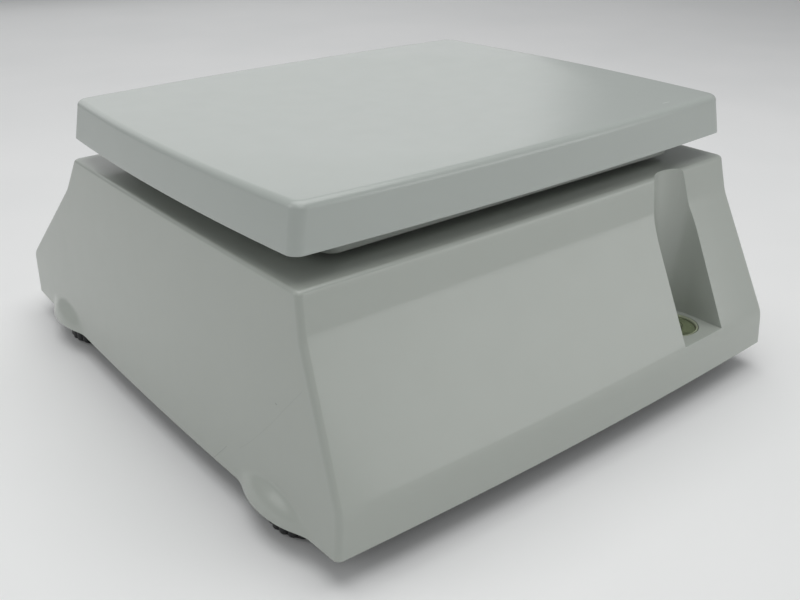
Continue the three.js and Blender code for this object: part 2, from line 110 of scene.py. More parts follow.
def bow(z):
    t = min(1.0, max(0.0, (z - 9) / 129))
    return 5 - 3.5 * t, 4.5 - 3.0 * t


def wall_x(y, z):
    y0, y1 = at(FRONT, z), at(REAR, z)
    v = (y - (y0 + y1) / 2) / ((y1 - y0) / 2)
    return half_x(z) + bow(z)[0] * (1 - v * v)


def smax(a, b, k):
    h = max(k - abs(a - b), 0.0) / k
    return max(a, b) + h * h * k * 0.25


# -------------------------------------------------------------- mesh utilities
def new_object(name, verts, faces, shift=True, smooth=True):
    me = D.meshes.new(name)
    me.from_pydata([P(*v) if shift else Vector(v) * MM for v in verts], [], faces)
    me.validate()
    o = D.objects.new(name, me)
    bpy.context.scene.collection.objects.link(o)
    if smooth:
        me.shade_smooth()
    return o


def loft(name, rings, cap=True, close=True):
    """A solid through a stack of rings; a ring of one point closes to a tip."""
    verts, faces, start = [], [], []
    for r in rings:
        start.append(len(verts))
        verts += [tuple(p) for p in r]
    for k in range(len(rings) - 1):
        a, b, n, m = start[k], start[k + 1], len(rings[k]), len(rings[k + 1])
        for i in range(max(n, m)):
            j = (i + 1) % max(n, m)
            if n == 1:
                faces.append((a, b + j, b + i))
            elif m == 1:
                faces.append((a + i, a + j, b))
            else:
                faces.append((a + i, a + j, b + j, b + i))
    if cap:
        if len(rings[0]) > 2:
            faces.append(tuple(range(len(rings[0])))[::-1])
        if len(rings[-1]) > 2:
            faces.append(tuple(start[-1] + i for i in range(len(rings[-1]))))
    return new_object(name, verts, faces)


def fix(o):
    bm = bmesh.new()
    bm.from_mesh(o.data)
    bmesh.ops.remove_doubles(bm, verts=bm.verts, dist=2e-7)
    bmesh.ops.dissolve_degenerate(bm, edges=bm.edges, dist=2e-7)
    bmesh.ops.recalc_face_normals(bm, faces=bm.faces)
    bm.to_mesh(o.data)
    bm.free()
    return o


def apply_modifiers(o):
    bpy.context.view_layer.update()
    dg = bpy.context.evaluated_depsgraph_get()
    me = D.meshes.new_from_object(o.evaluated_get(dg))
    o.modifiers.clear()
    old = o.data
    o.data = me
    D.meshes.remove(old)
    return o


def boolean(o, cutters, op="DIFFERENCE"):
    for c in cutters:
        m = o.modifiers.new("b", "BOOLEAN")
        m.operation = op
        m.object = c
        try:
            m.solver = "MANIFOLD"
        except TypeError:
            m.solver = "EXACT"
    apply_modifiers(o)
    for c in cutters:
        D.objects.remove(c)
    return o


def box_obj(x0, x1, y0, y1, z0, z1, m=None, name="cut"):
    vs = [Vector((x, y, z)) for z in (z0, z1) for y in (y0, y1) for x in (x0, x1)]
    if m is not None:
        vs = [m @ v for v in vs]
    return fix(new_object(name, vs, [(0, 2, 3, 1), (4, 5, 7, 6), (0, 1, 5, 4), (2, 6, 7, 3), (0, 4, 6, 2), (1, 3, 7, 5)]))


def rod_obj(r, z0, z1, x=0.0, y=0.0, seg=48, m=None, name="cut"):
    rings = []
    for z in (z0, z1):
        ring = [Vector((x + r * math.cos(TAU * i / seg), y + r * math.sin(TAU * i / seg), z)) for i in range(seg)]
        rings.append([m @ v for v in ring] if m is not None else ring)
    return fix(loft(name, rings))


def lathe(name, pts, seg=64, m=None, x=0.0, y=0.0):
    """Profile of (r, z) points; a point with r 0 lies on the axis."""
    rings = []
    for r, z in pts:
        ring = [Vector((x, y, z))] if r < 1e-9 else [
            Vector((x + r * math.cos(TAU * i / seg), y + r * math.sin(TAU * i / seg), z)) for i in range(seg)]
        rings.append([m @ v for v in ring] if m is not None else ring)
    return fix(loft(name, rings, cap=False))


def bevel_edges(o, test, offset, segments=3, min_angle=30.0, profile=0.5):
    bm = bmesh.new()
    bm.from_mesh(o.data)
    edges = []
    for e in bm.edges:
        if len(e.link_faces) != 2:
            continue
        if e.calc_face_angle(0) < math.radians(min_angle):
            continue
        c = (e.verts[0].co + e.verts[1].co) / 2 / MM
        c.y -= SHIFT
        c.z -= SHIFT_Z
        if test(c, e):
            edges.append(e)
    if edges:
        bmesh.ops.bevel(bm, geom=edges, offset=offset * MM, offset_type="OFFSET", segments=segments,
                        profile=profile, affect="EDGES", clamp_overlap=True)
    bm.to_mesh(o.data)
    bm.free()
    return len(edges)


def finish_normals(o, sharp=35.0, weighted=True):
    me = o.data
    me.shade_smooth()
    me.set_sharp_from_angle(angle=math.radians(sharp))
    if weighted:
        w = o.modifiers.new("normals", "WEIGHTED_NORMAL")
        w.keep_sharp = True
        w.weight = 60
    return o


def round_rect(hx, y0, y1, r, z, b=(0.0, 0.0, 0.0), arc=8, ts=None, xs=None):
    """Ring of a rounded rectangle. ts and xs are the stations along the end
    walls and along the front and rear walls; b is the crown of ends, front, rear."""
    yc, hy = (y0 + y1) / 2, (y1 - y0) / 2
    ts = ts or []
    xs = xs or []
    out = []

    def corner(sx, sy, q):
        for i in range(arc + 1):
            a = (q + i / arc) * math.pi / 2
            out.append((sx * (hx - r) + r * math.cos(a), sy * (hy - r) + r * math.sin(a)))

    def side(p, q, stations):
        for t in stations:
            out.append((p[0] + (q[0] - p[0]) * t, p[1] + (q[1] - p[1]) * t))

    corner(1, 1, 0)
    side(out[-1], (-(hx - r), hy), [1 - t for t in reversed(xs)] if xs else [])
    corner(-1, 1, 1)
    side(out[-1], (-hx, -(hy - r)), [1 - t for t in reversed(ts)])
    corner(-1, -1, 2)
    side(out[-1], (hx - r, -hy), xs)
    corner(1, -1, 3)
    side(out[-1], (hx, hy - r), ts)
    ring = []
    for x, v in out:
        X = x + x / hx * b[0] * max(0.0, 1 - (v / hy) ** 2)
        V = v + v / hy * (b[2] if v > 0 else b[1]) * max(0.0, 1 - (x / hx) ** 2)
        ring.append([X, yc + V, z])
    return ring


# ------------------------------------------------------------- console and side
CONSOLE = Matrix.Translation((0, -241, 39.5)) @ Matrix.Rotation(SLOPE, 4, "X")


def side_frame(y):
    z = SIDE_Z
    up = Vector((wall_x(y, z - 5) - wall_x(y, z + 5), 0, 10)).normalized()
    along = Vector((wall_x(y + 5, z) - wall_x(y - 5, z), -10, 0)).normalized()
    out = along.cross(up).normalized()
    m = Matrix.Identity(4)
    for i, c in enumerate((along, out.cross(along), out, Vector((-wall_x(y, z), y, z)))):
        for k in range(3):
            m[k][i] = c[k]
    return m


INLET_M, SWITCH_M = side_frame(INLET_Y), side_frame(SWITCH_Y)


def to_obj_matrix(m):
    """A matrix in millimetres about the platter as an object matrix in the frame."""
    return Matrix.Translation((0, SHIFT * MM, SHIFT_Z * MM)) @ Matrix.Scale(MM, 4) @ m


# -------------------------------------------------------------- shader helpers
def srgb(h):
    c = [int(h[i:i + 2], 16) / 255 for i in (0, 2, 4)]
    return tuple((v / 12.92 if v <= 0.04045 else ((v + 0.055) / 1.055) ** 2.4) for v in c) + (1.0,)


class Nodes:
    def __init__(self, name):
        self.mat = D.materials.new(name)
        self.mat.use_nodes = True
        self.t = self.mat.node_tree
        self.b = self.t.nodes["Principled BSDF"]
        self.coord = self.t.nodes.new("ShaderNodeTexCoord")

    def new(self, kind, **kw):
        n = self.t.nodes.new(kind)
        for k, v in kw.items():
            setattr(n, k, v)
        return n

    def link(self, a, b):
        self.t.links.new(a, b)

    def noise(self, scale, detail=4.0, rough=0.5, vec=None, stretch=None):
        n = self.new("ShaderNodeTexNoise")
        n.inputs["Scale"].default_value = scale
        n.inputs["Detail"].default_value = detail
        n.inputs["Roughness"].default_value = rough
        src = vec or self.coord.outputs["Object"]
        if stretch:
            mp = self.new("ShaderNodeMapping")
            mp.inputs["Scale"].default_value = stretch
            self.link(src, mp.inputs["Vector"])
            src = mp.outputs["Vector"]
        self.link(src, n.inputs["Vector"])
        return n.outputs["Fac"]

    def ramp(self, fac, stops):
        r = self.new("ShaderNodeValToRGB")
        while len(r.color_ramp.elements) < len(stops):
            r.color_ramp.elements.new(0.5)
        for e, (p, c) in zip(r.color_ramp.elements, stops):
            e.position = p
            e.color = c if isinstance(c, tuple) else (c, c, c, 1)
        self.link(fac, r.inputs["Fac"])
        return r.outputs["Color"]

    def math(self, op, a, b=None, clamp=False):
        m = self.new("ShaderNodeMath", operation=op, use_clamp=clamp)
        for i, v in enumerate((a, b)):
            if v is None:
                continue
            if isinstance(v, (int, float)):
                m.inputs[i].default_value = v
            else:
                self.link(v, m.inputs[i])
        return m.outputs[0]

    def mix(self, fac, a, b, blend="MIX"):
        m = self.new("ShaderNodeMix", data_type="RGBA", blend_type=blend)
        for key, v in (("Factor", fac), ("A", a), ("B", b)):
            s = [i for i in m.inputs if i.name == key and (i.type == ("VALUE" if key == "Factor" else "RGBA"))][0]
            if isinstance(v, (int, float)):
                s.default_value = v
            elif isinstance(v, tuple):
                s.default_value = v
            else:
                self.link(v, s)
        return [o for o in m.outputs if o.type == "RGBA"][0]

    def bump(self, height, strength, distance=0.0005, normal=None):
        n = self.new("ShaderNodeBump")
        n.inputs["Strength"].default_value = strength
        n.inputs["Distance"].default_value = distance
        self.link(height, n.inputs["Height"])
        if normal is not None:
            self.link(normal, n.inputs["Normal"])
        return n.outputs["Normal"]


def segment_mask(n, pts, width, soft_edge=0.6):
    """1 on a polyline given in the frame (metres), fading out over its width."""
    pos = n.coord.outputs["Object"]
    total = None
    for a, b in zip(pts, pts[1:]):
        a, b = Vector(a), Vector(b)
        d = b - a
        sub = n.new("ShaderNodeVectorMath", operation="SUBTRACT")
        n.link(pos, sub.inputs[0])
        sub.inputs[1].default_value = a
        dot = n.new("ShaderNodeVectorMath", operation="DOT_PRODUCT")
        n.link(sub.outputs["Vector"], dot.inputs[0])
        dot.inputs[1].default_value = d / d.length_squared
        t = n.math("ADD", dot.outputs["Value"], 0.0, clamp=True)
        sc = n.new("ShaderNodeVectorMath", operation="SCALE")
        sc.inputs[0].default_value = d
        n.link(t, sc.inputs["Scale"])
        off = n.new("ShaderNodeVectorMath", operation="SUBTRACT")
        n.link(sub.outputs["Vector"], off.inputs[0])
        n.link(sc.outputs["Vector"], off.inputs[1])
        ln = n.new("ShaderNodeVectorMath", operation="LENGTH")
        n.link(off.outputs["Vector"], ln.inputs[0])
        m = n.math("SUBTRACT", 1.0, n.math("DIVIDE", ln.outputs["Value"], width), clamp=True)
        total = m if total is None else n.math("MAXIMUM", total, m)
    return total


def plastic(name, color, rough=0.42, grain=0.10, mottling=0.035, spec=0.5, wear=0.0, grain_scale=2600,
            marks=(), specks=True, coat=0.0, coat_rough=0.13):
    """Moulded plastic: fine spark-eroded grain, faint cloudiness, dull handling marks."""
    n = Nodes(name)
    b = n.b
    b.inputs["Specular IOR Level"].default_value = spec
    if coat:
        b.inputs["Coat Weight"].default_value = coat
        b.inputs["Coat Roughness"].default_value = coat_rough
    base = srgb(color) if isinstance(color, str) else color
    cloud = n.noise(9, 3, 0.55)
    lo = tuple(c * (1 - mottling) for c in base[:3]) + (1,)
    hi = tuple(min(1, c * (1 + mottling)) for c in base[:3]) + (1,)
    col = n.ramp(cloud, [(0.3, lo), (0.7, hi)])
    if specks:
        sp = n.noise(900, 1, 0.4)
        col = n.mix(n.math("MULTIPLY", n.ramp(sp, [(0.72, 0.0), (0.80, 1.0)]), 0.10), col,
                    tuple(c * 0.72 for c in base[:3]) + (1,))
    dirt = n.noise(34, 5, 0.65)
    smear = n.ramp(dirt, [(0.52, 0.0), (0.75, 1.0)])
    col = n.mix(n.math("MULTIPLY", smear, 0.06), col, tuple(c * v for c, v in zip(base[:3], (0.86, 0.84, 0.78))) + (1,))
    if wear:
        geo = n.new("ShaderNodeNewGeometry")
        edge = n.ramp(geo.outputs["Pointiness"], [(0.515, 0.0), (0.56, 1.0)])
        col = n.mix(n.math("MULTIPLY", edge, wear), col, tuple(min(1, c * 1.22 + 0.02) for c in base[:3]) + (1,))
    fine = n.noise(grain_scale, 2, 0.5)
    micro = n.noise(260, 3, 0.5)
    h = n.math("ADD", n.math("MULTIPLY", fine, 0.6), n.math("MULTIPLY", micro, 0.4))
    normal = n.bump(h, grain, 0.00012)
    wave = n.noise(16, 2, 0.5)
    normal = n.bump(wave, 0.05, 0.0005, normal)
    for pts, width, tone, depth in marks:
        m = segment_mask(n, pts, width)
        col = n.mix(n.math("MULTIPLY", m, abs(tone)), col,
                    tuple(c * 0.35 for c in base[:3]) + (1,) if tone > 0 else (0.92, 0.93, 0.9, 1))
        if depth:
            normal = n.bump(m, 0.5, -depth, normal)
    n.link(col, b.inputs["Base Color"])
    r = n.ramp(n.noise(55, 4, 0.6), [(0.3, rough - 0.02), (0.7, rough + 0.03)])
    n.link(r, b.inputs["Roughness"])
    n.link(normal, b.inputs["Normal"])
    return n.mat


def metal(name, color, rough=0.35, brushed=None, grain=0.2):
    n = Nodes(name)
    b = n.b
    b.inputs["Metallic"].default_value = 1.0
    base = srgb(color)
    n.link(n.ramp(n.noise(60, 4, 0.6), [(0.3, tuple(c * 0.85 for c in base[:3]) + (1,)), (0.7, base)]), b.inputs["Base Color"])
    s = n.noise(900, 3, 0.5, stretch=brushed)
    n.link(n.ramp(s, [(0.3, rough - 0.08), (0.7, rough + 0.1)]), b.inputs["Roughness"])
    n.link(n.bump(s, grain, 0.0001), b.inputs["Normal"])
    return n.mat


# ----------------------------------------------------------- upper housing mesh
def stations():
    """Stations along an end wall, close together over the foot bulges."""
    y0, span = -234 + 3.5, 416 - 7.0
    ys = set()
    for yd in FOOT_Y:
        y = yd - 48
        while y <= yd + 48.01:
            ys.add(round(y, 2))
            y += 2.0
    y = -214.0
    while y < 170:
        if all(abs(y - yd) > 52 for yd in FOOT_Y):
            ys.add(round(y, 2))
        y += 17
    return sorted((y - y0) / span for y in ys if y0 + 1 < y < y0 + span - 1)


TS = stations()
XS_ALL = [i / 18 for i in range(1, 18)]
R_RIM, R_FOOT = 2.2, 0.7


def dome_x(y, z, k):
    best = -1e9
    for yd in FOOT_Y:
        v = 1 - ((y - yd) / (DOME[1] - k)) ** 2 - ((max(z, 9) - 9) / (DOME[2] - k)) ** 2
        best = max(best, DOME_X + (DOME[0] - k) * (math.sqrt(v) if v > 0 else 4 * v))
    return best


def body_ring(z, off=0.0, r=3.6, soften=4.0, domes=True, rim=0.0):
    """Ring of the outer skin at height z, moved inwards by off; rim is a further inset."""
    zz = min(max(z, Z_BASE), Z_RIM)
    f = soft(FRONT, zz, soften) if soften else at(FRONT, zz)
    b = soft(REAR, zz, soften) if soften else at(REAR, zz)
    if off:
        h = 1.0
        kf = (at(FRONT, zz + h) - at(FRONT, zz - h)) / (2 * h)
        kr = (at(REAR, zz + h) - at(REAR, zz - h)) / (2 * h)
        f += off * math.hypot(1, kf)
        b -= off * math.hypot(1, kr)
    be, br = bow(zz)
    ring = round_rect(half_x(zz) - off - rim, f + rim, b - rim, max(0.8, r - off * 0.4 - rim * 0.4), z,
                      (be, 0.0, br), 8, TS, XS_ALL)
    if domes and z < 34:
        for p in ring:
            if abs(p[0]) > 150 and abs(p[1]) < 215:
                s = 1 if p[0] > 0 else -1
                d = dome_x(p[1], z, off)
                if d > 150:
                    p[0] = s * (smax(abs(p[0]), d - rim, 3.0))
    return ring


zs = [10.6 + 1.25 * i for i in range(16)] + [31 + 1.5 * i for i in range(10)] + [52, 66, 80, 95] + \
     [107 + 1.6 * i for i in range(8)] + [122, 129, 133]
rings = [body_ring(Z_BASE, rim=R_FOOT), body_ring(Z_BASE + 0.3, rim=R_FOOT * 0.35), body_ring(Z_BASE + R_FOOT)]
rings += [body_ring(z) for z in zs]
for i in range(7):
    a = i / 6 * math.pi / 2
    rings.append(body_ring(Z_RIM - R_RIM + R_RIM * math.sin(a), rim=R_RIM * (1 - math.cos(a))))
outer = fix(loft("upper_housing_skin", rings))

inner_z = [-6, 9.0] + [10.5 + 2.0 * i for i in range(9)] + [29, 33, 36, 40, 45, 80, 106, 111, 116, 135.2]
inner = fix(loft("inner", [body_ring(z, off=WALL, soften=3.0) for z in inner_z]))


def channel_obj(k, z0, z1=170.0):
    pts = [(WELL_X + (WELL_R + k) * math.cos(math.pi * (1 + i / 40)), WELL_Y + (WELL_R + k) * math.sin(math.pi * (1 + i / 40)))
           for i in range(41)]
    pts = [(WELL_X - WELL_R - k, 270)] + pts + [(WELL_X + WELL_R + k, 270)]
    return fix(loft("cut", [[(x, y, z) for x, y in pts] for z in (z0, z1)]))


kx0, kx1 = KEY_X0 - KEY_PITCH / 2 - 4, KEY_X0 + 3.5 * KEY_PITCH + 4
kv0, kv1 = KEY_V0 - KEY_PITCH / 2 - 4, KEY_V0 + 3.5 * KEY_PITCH + 4
pegs = [box_obj(x - 3, x + 3, v - 3, v + 3, -8.3, 2, CONSOLE)
        for x in (kx0 - 1, kx1 + 1) for v in (kv0 + 4, kv1 - 4)]
posts = [rod_obj(5, 17.3, 150, x, y, 32) for x, y in POSTS]
boolean(inner, [channel_obj(WALL, WELL_FLOOR - WALL)] + posts + pegs)
housing = boolean(outer, [inner, channel_obj(0, WELL_FLOOR)])


def rounded_prism(x0, x1, y0, y1, z0, z1, r, m=None, seg=6):
    ring = round_rect((x1 - x0) / 2, y0, y1, r, 0, arc=seg)
    cx = (x0 + x1) / 2
    out = [[Vector((cx + p[0], p[1], z)) for p in ring] for z in (z0, z1)]
    if m is not None:
        out = [[m @ v for v in q] for q in out]
    return fix(loft("cut", out))


cuts = [rod_obj(LEVEL_R + 0.3, 20, 60, WELL_X, LEVEL_Y, 72), box_obj(24, 74, -24, 24, 130, 150),
        rounded_prism(kx0, kx1, kv0, kv1, -1.6, 10, 2.5, CONSOLE),
        rounded_prism(kx0 + 3.5, kx1 - 3.5, kv0 + 3.5, kv1 - 3.5, -9.0, 11, 2, CONSOLE),
        rounded_prism(LCD[0], LCD[1], LCD[2], LCD[3], -1.6, 10, 3.5, CONSOLE),
        rounded_prism(LCD[0] + 5, LCD[1] - 5, LCD[2] + 5, LCD[3] - 5, -10, 11, 2, CONSOLE),
        rod_obj(6.2, -20, 20, 0, 0, 48, INLET_M), box_obj(-7.1, 7.1, -11.1, 11.1, -20, 20, SWITCH_M)]
cuts += [rod_obj(1.9, 0, 39, x, y, 24) for x, y in POSTS]
housing = boolean(housing, cuts)
fix(housing)
housing.name = "upper_housing_skin"


def on_channel(c):
    dx, dy = c.x - WELL_X, c.y - WELL_Y
    d = abs(abs(dx) - WELL_R) if dy > 0 else abs(math.hypot(dx, dy) - WELL_R)
    return d < 0.12 and c.z > WELL_FLOOR - 0.05


def in_console(c):
    q = CONSOLE.inverted() @ Vector((c.x, c.y, c.z))
    return abs(q.z) < 0.15 and 0 < q.y < 110


n1 = bevel_edges(housing, lambda c, e: on_channel(c) and c.y > 128 and
                 (c.z > WELL_FLOOR + 0.5), 1.5, 4, 30)
n2 = bevel_edges(housing, lambda c, e: abs(c.z - WELL_FLOOR) < 0.08 and c.y > 176 and
                 abs(c.x - WELL_X) < WELL_R - 1.7, 1.2, 3, 30)
n3 = bevel_edges(housing, lambda c, e: in_console(c), 0.45, 2, 30)
n4 = bevel_edges(housing, lambda c, e: abs(c.z - Z_RIM) < 0.05 and abs(c.x) < 80 and abs(c.y) < 30, 0.7, 3, 30)
n5 = bevel_edges(housing, lambda c, e: abs(c.z - WELL_FLOOR) < 0.08 and
                 abs(math.hypot(c.x - WELL_X, c.y - LEVEL_Y) - LEVEL_R - 0.3) < 0.1, 0.5, 2, 30)
print("bevelled edges:", n1, n2, n3, n4, n5, "faces", len(housing.data.polygons))
finish_normals(housing, 32)
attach(housing, "housing")
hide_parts("upper_housing")
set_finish(housing, "housing_plastic")

# ---------------------------------------------------------------------- platter
PL = dict(hx=168.7, hy=136.6, hxt=163.5, hyt=134.6, b0=5.0, b1=7.0, r=6.5, z0=153.6, z1=179.3, wall=3.0,
          under=172.8, dx=150.0, dy=128.0, dish=3.4)


def mixp(t):
    return (PL["hx"] + (PL["hxt"] - PL["hx"]) * t, PL["hy"] + (PL["hyt"] - PL["hy"]) * t,
            PL["b0"] + (PL["b1"] - PL["b0"]) * t)


SIDE = [i / 26 for i in range(1, 26)]


def plate_ring(t, inset_by, r, z):
    hx, hy, b = mixp(t)
    return round_rect(hx - inset_by, -(hy - inset_by), hy - inset_by, r, z, (b, b, b), 10, SIDE, SIDE)


def dish_z(x, y):
    t = 1 - (x / PL["dx"]) ** 2 - (y / PL["dy"]) ** 2
    k = 0.10
    return PL["z1"] - PL["dish"] * (smax(t, 0.0, k) - (0.0 if t > k else 0.0)) * 0.98


rings = []
r_top, lip = 4.2, 0.5
z_fil = PL["z1"] - r_top
rings.append(plate_ring(0.0, lip, PL["r"] - 0.4, PL["z0"]))
rings.append(plate_ring(0.0, lip * 0.3, PL["r"] - 0.15, PL["z0"] + lip * 0.3))
rings.append(plate_ring(0.02, 0.0, PL["r"], PL["z0"] + lip))
for i in range(1, 9):
    t = 0.02 + 0.78 * i / 8
    rings.append(plate_ring(t, 0.0, PL["r"], PL["z0"] + lip + (z_fil - PL["z0"] - lip) * i / 8))
for i in range(1, 9):
    a = i / 8 * math.pi / 2
    rings.append(plate_ring(0.8, r_top * (1 - math.cos(a)), PL["r"] - r_top * 0.6 * (1 - math.cos(a)),
                            z_fil + r_top * math.sin(a)))
edge = rings[-1]
N_TOP = 44
for i in range(1, N_TOP):
    s = 1 - i / N_TOP
    rings.append([(p[0] * s, p[1] * s, dish_z(p[0] * s, p[1] * s)) for p in edge])
rings.append([(0.0, 0.0, dish_z(0, 0))])
# underside
under = [plate_ring(0.0, lip, PL["r"] - 0.4, PL["z0"]),
         plate_ring(0.0, PL["wall"] - lip * 0.5, PL["r"] - 2.4, PL["z0"]),
         plate_ring(0.0, PL["wall"], PL["r"] - 2.8, PL["z0"] + 0.8)]
for i in range(1, 5):
    under.append(plate_ring(0.75 * i / 4, PL["wall"], PL["r"] - 3.0, PL["z0"] + 0.8 + (PL["under"] - 3 - PL["z0"] - 0.8) * i / 4))
for i in range(1, 4):
    a = i / 3 * math.pi / 2
    under.append(plate_ring(0.75, PL["wall"] + 3 * (1 - math.cos(a)), PL["r"] - 3 - 2 * (1 - math.cos(a)),
                            PL["under"] - 3 + 3 * math.sin(a)))
last = under[-1]
for s in (0.8, 0.55, 0.3):
    under.append([(p[0] * s, p[1] * s, PL["under"]) for p in last])
under.append([(0.0, 0.0, PL["under"])])
verts, faces = [], []


def sheet_rings(rs, flip):
    base = len(verts)
    starts = []
    for r in rs:
        starts.append(len(verts))
        verts.extend(tuple(p) for p in r)
    for k in range(len(rs) - 1):
        a, b, n, m = starts[k], starts[k + 1], len(rs[k]), len(rs[k + 1])
        for i in range(n):
            j = (i + 1) % n
            f = (a + i, a + j, b) if m == 1 else (a + i, a + j, b + j, b + i)
            faces.append(f[::-1] if flip else f)


sheet_rings(rings, False)
sheet_rings(under, True)
platter = fix(new_object("platter_moulding", verts, faces))
ribs = [box_obj(-158, 158, y - 1, y + 1, 168.6, 173.4) for y in (-78, -52, -26, 0, 26, 52, 78)] + \
       [box_obj(x - 1, x + 1, -128, 128, 168.6, 173.4) for x in (-96, -64, -32, 0, 32, 64, 96)]
boolean(platter, ribs, "UNION")
fix(platter)
finish_normals(platter, 40)
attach(platter, "platter")
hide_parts("platter")
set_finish(platter, "platter_plastic")

# ---------------------------------------------------- levelling knobs and studs
FOOT_NAMES = {"rear_right": (158, 122), "rear_left": (-158, 122), "front_right": (158, -165), "front_left": (-158, -165)}


def knob_ring(z, inset_by):
    out = []
    n = 288
    for i in range(n):
        a = TAU * i / n
        lobe = abs(math.cos(12 * a)) ** 0.6
        r = 23.4 + 1.8 * lobe - inset_by
        out.append((r * math.cos(a), r * math.sin(a), z))
    return out


def circle(r, z, n=288):
    return [(r * math.cos(TAU * i / n), r * math.sin(TAU * i / n), z) for i in range(n)]


for name, (x, y) in FOOT_NAMES.items():
    rr = [[(0.0, 0.0, -8.2)], circle(16.5, -8.2), circle(17.2, -9.0), circle(21.0, -9.0), circle(21.5, -8.5), circle(21.5, -7.0),
          circle(21.9, -6.7), knob_ring(-6.6, 1.9), knob_ring(-6.5, 1.0), knob_ring(-6.0, 0.3), knob_ring(-5.2, 0.0), knob_ring(5.2, 0.0),
          knob_ring(6.1, 0.25), knob_ring(6.7, 0.8), knob_ring(7.0, 1.7), circle(17.5, 7.0), circle(17.0, 6.2), circle(8.4, 6.2),
          circle(8.0, 7.0), circle(4.6, 7.0), circle(4.2, 6.6), circle(4.2, -5.0), [(0.0, 0.0, -5.0)]]
    o = fix(loft("knob_" + name, [[(p[0] + x, p[1] + y, p[2]) for p in r] for r in rr], cap=False))
    finish_normals(o, 38)
    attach(o, "knob_" + name)
    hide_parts("foot_knob_" + name)
    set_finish(o, "black_plastic")
    # stud with a helical thread
    seg, pitch = 32, 1.25
    rows = []
    z0, z1 = -4.7, 37.0
    steps = int((z1 - z0) / pitch * 4)
    for k in range(steps + 1):
        z = z0 + (z1 - z0) * k / steps
        row = []
        for i in range(seg):
            ph = ((z - z0) / pitch - i / seg) % 1.0
            depth = 0.55 * abs(2 * ph - 1)
            fade = min(1.0, (z - z0) / 1.2, (z1 - z) / 1.2)
            rr_ = 3.85 - depth * max(0.0, fade) - (1 - max(0.0, fade)) * 0.7
            a = TAU * i / seg
            row.append((x + rr_ * math.cos(a), y + rr_ * math.sin(a), z))
        rows.append(row)
    rows = [[(x, y, z0)]] + rows + [[(x, y, z1)]]
    s = fix(loft("stud_" + name, rows, cap=False))
    finish_normals(s, 60)
    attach(s, "stud_" + name)
    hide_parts("foot_stud_" + name)
    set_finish(s, "steel")

# ------------------------------------------------------------------ bubble level
def ride_piece(o, body, node, slot_name):
    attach(o, body)
    if node:
        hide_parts(node)
    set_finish(o, slot_name)
    return o


lx, ly = WELL_X, LEVEL_Y
cup = lathe("level_cup", [(0, 26.0), (16.6, 26.0), (17, 26.4), (17, 30.0), (19.7, 30.0), (20, 30.3), (20, 33.1), (19.7, 33.4), (17, 33.4),
                          (17, 36.0), (16.8, 36.3), (16.1, 36.3), (15.7, 35.9), (15.6, 35.4), (15.6, 28.5), (15.2, 28.0), (0, 28.0)], 96, x=lx, y=ly)
finish_normals(cup, 35)
ride_piece(cup, "housing", "level_body", "level_green")
dome_pts = [(0, 28.3), (15.2, 28.3), (15.5, 28.6), (15.5, 32.2), (15.3, 32.5)]
dome_pts += [(r, 32.6 - 0.05 * (r / 15.3) ** 2) for r in (13, 11, 9, 7.6)]
dome_pts += [(6.9, 32.35), (6.3, 31.9), (5.6, 31.55), (4.4, 31.25), (3.0, 31.1), (1.5, 31.02), (0, 31.0)]
fluid = lathe("level_fluid_and_bubble", dome_pts, 96, x=lx, y=ly)
finish_normals(fluid, 50)
ride_piece(fluid, "housing", "level_fluid", "level_green")
lens_pts = [(0, 32.95), (15.3, 32.95), (15.52, 33.2), (15.52, 34.9), (15.3, 35.2)]
lens_pts += [(r, 36.5 - 1.15 * (r / 15.0) ** 2) for r in (14, 12.5, 11, 9.5, 8, 7.3)]
lens_pts += [(7.15, 36.1), (6.75, 36.1), (6.6, 36.5 - 1.15 * (6.6 / 15.0) ** 2)]
lens_pts += [(r, 36.5 - 1.15 * (r / 15.0) ** 2) for r in (5, 3.4, 1.7)] + [(0, 36.5)]
lens = lathe("level_lens_clear", lens_pts, 96, x=lx, y=ly)
finish_normals(lens, 40)
ride_piece(lens, "housing", "level_lens", "level_lens")
ring_mark = lathe("level_target_ring", [(6.9, 36.14), (7.1, 36.14), (7.1, 36.28), (6.9, 36.28), (6.9, 36.14)], 96, x=lx, y=ly)
finish_normals(ring_mark, 40)
ride_piece(ring_mark, "housing", None, "level_green")

# ------------------------------------------------------------- platter support
FR = dict(hx=138.0, hy=119.5, z0=141.0, z1=167.0, wall=3.0)


def frame_ring(inset_by, r, z):
    return round_rect(FR["hx"] - inset_by, -(FR["hy"] - inset_by), FR["hy"] - inset_by, r, z, arc=10)


rings = [frame_ring(0.7, 7.3, 141.0), frame_ring(0.2, 7.8, 141.3), frame_ring(0, 8, 141.9), frame_ring(0, 8, 160)]
for i in range(7):
    a = i / 6 * math.pi / 2
    rings.append(frame_ring(2.2 * (1 - math.cos(a)), 8 - 2.2 * (1 - math.cos(a)), 164.8 + 2.2 * math.sin(a)))
fo = fix(loft("platter_frame_moulding", rings))
fi = fix(loft("cut", [frame_ring(3, 5, 136), frame_ring(3, 5, 163), frame_ring(4, 4.2, 164)]))
boolean(fo, [fi])
ribs = [box_obj(30, 66, -18, 18, 150.3, 166)]
rib = box_obj(-136.5, 136.5, -1.5, 1.5, 152, 166)
boolean(rib, [box_obj(26, 72, -30, 30, 100, 150.2)])
ribs += [rib] + [box_obj(x - 1.2, x + 1.2, -117.5, 117.5, 158, 166) for x in (-90, -30, 92)]
ribs += [rod_obj(7, 160.2, 166, sx * 118, sy * 98, 40) for sx in (-1, 1) for sy in (-1, 1)]
boolean(fo, ribs, "UNION")
cuts = [rod_obj(3.9, 150, 180, sx * 118, sy * 98, 40) for sx in (-1, 1) for sy in (-1, 1)]
boolean(fo, cuts)
fix(fo)
bevel_edges(fo, lambda c, e: abs(c.z - 167.0) < 0.05 and abs(abs(c.x) - 118) < 6 and abs(abs(c.y) - 98) < 6, 0.4, 2, 30)
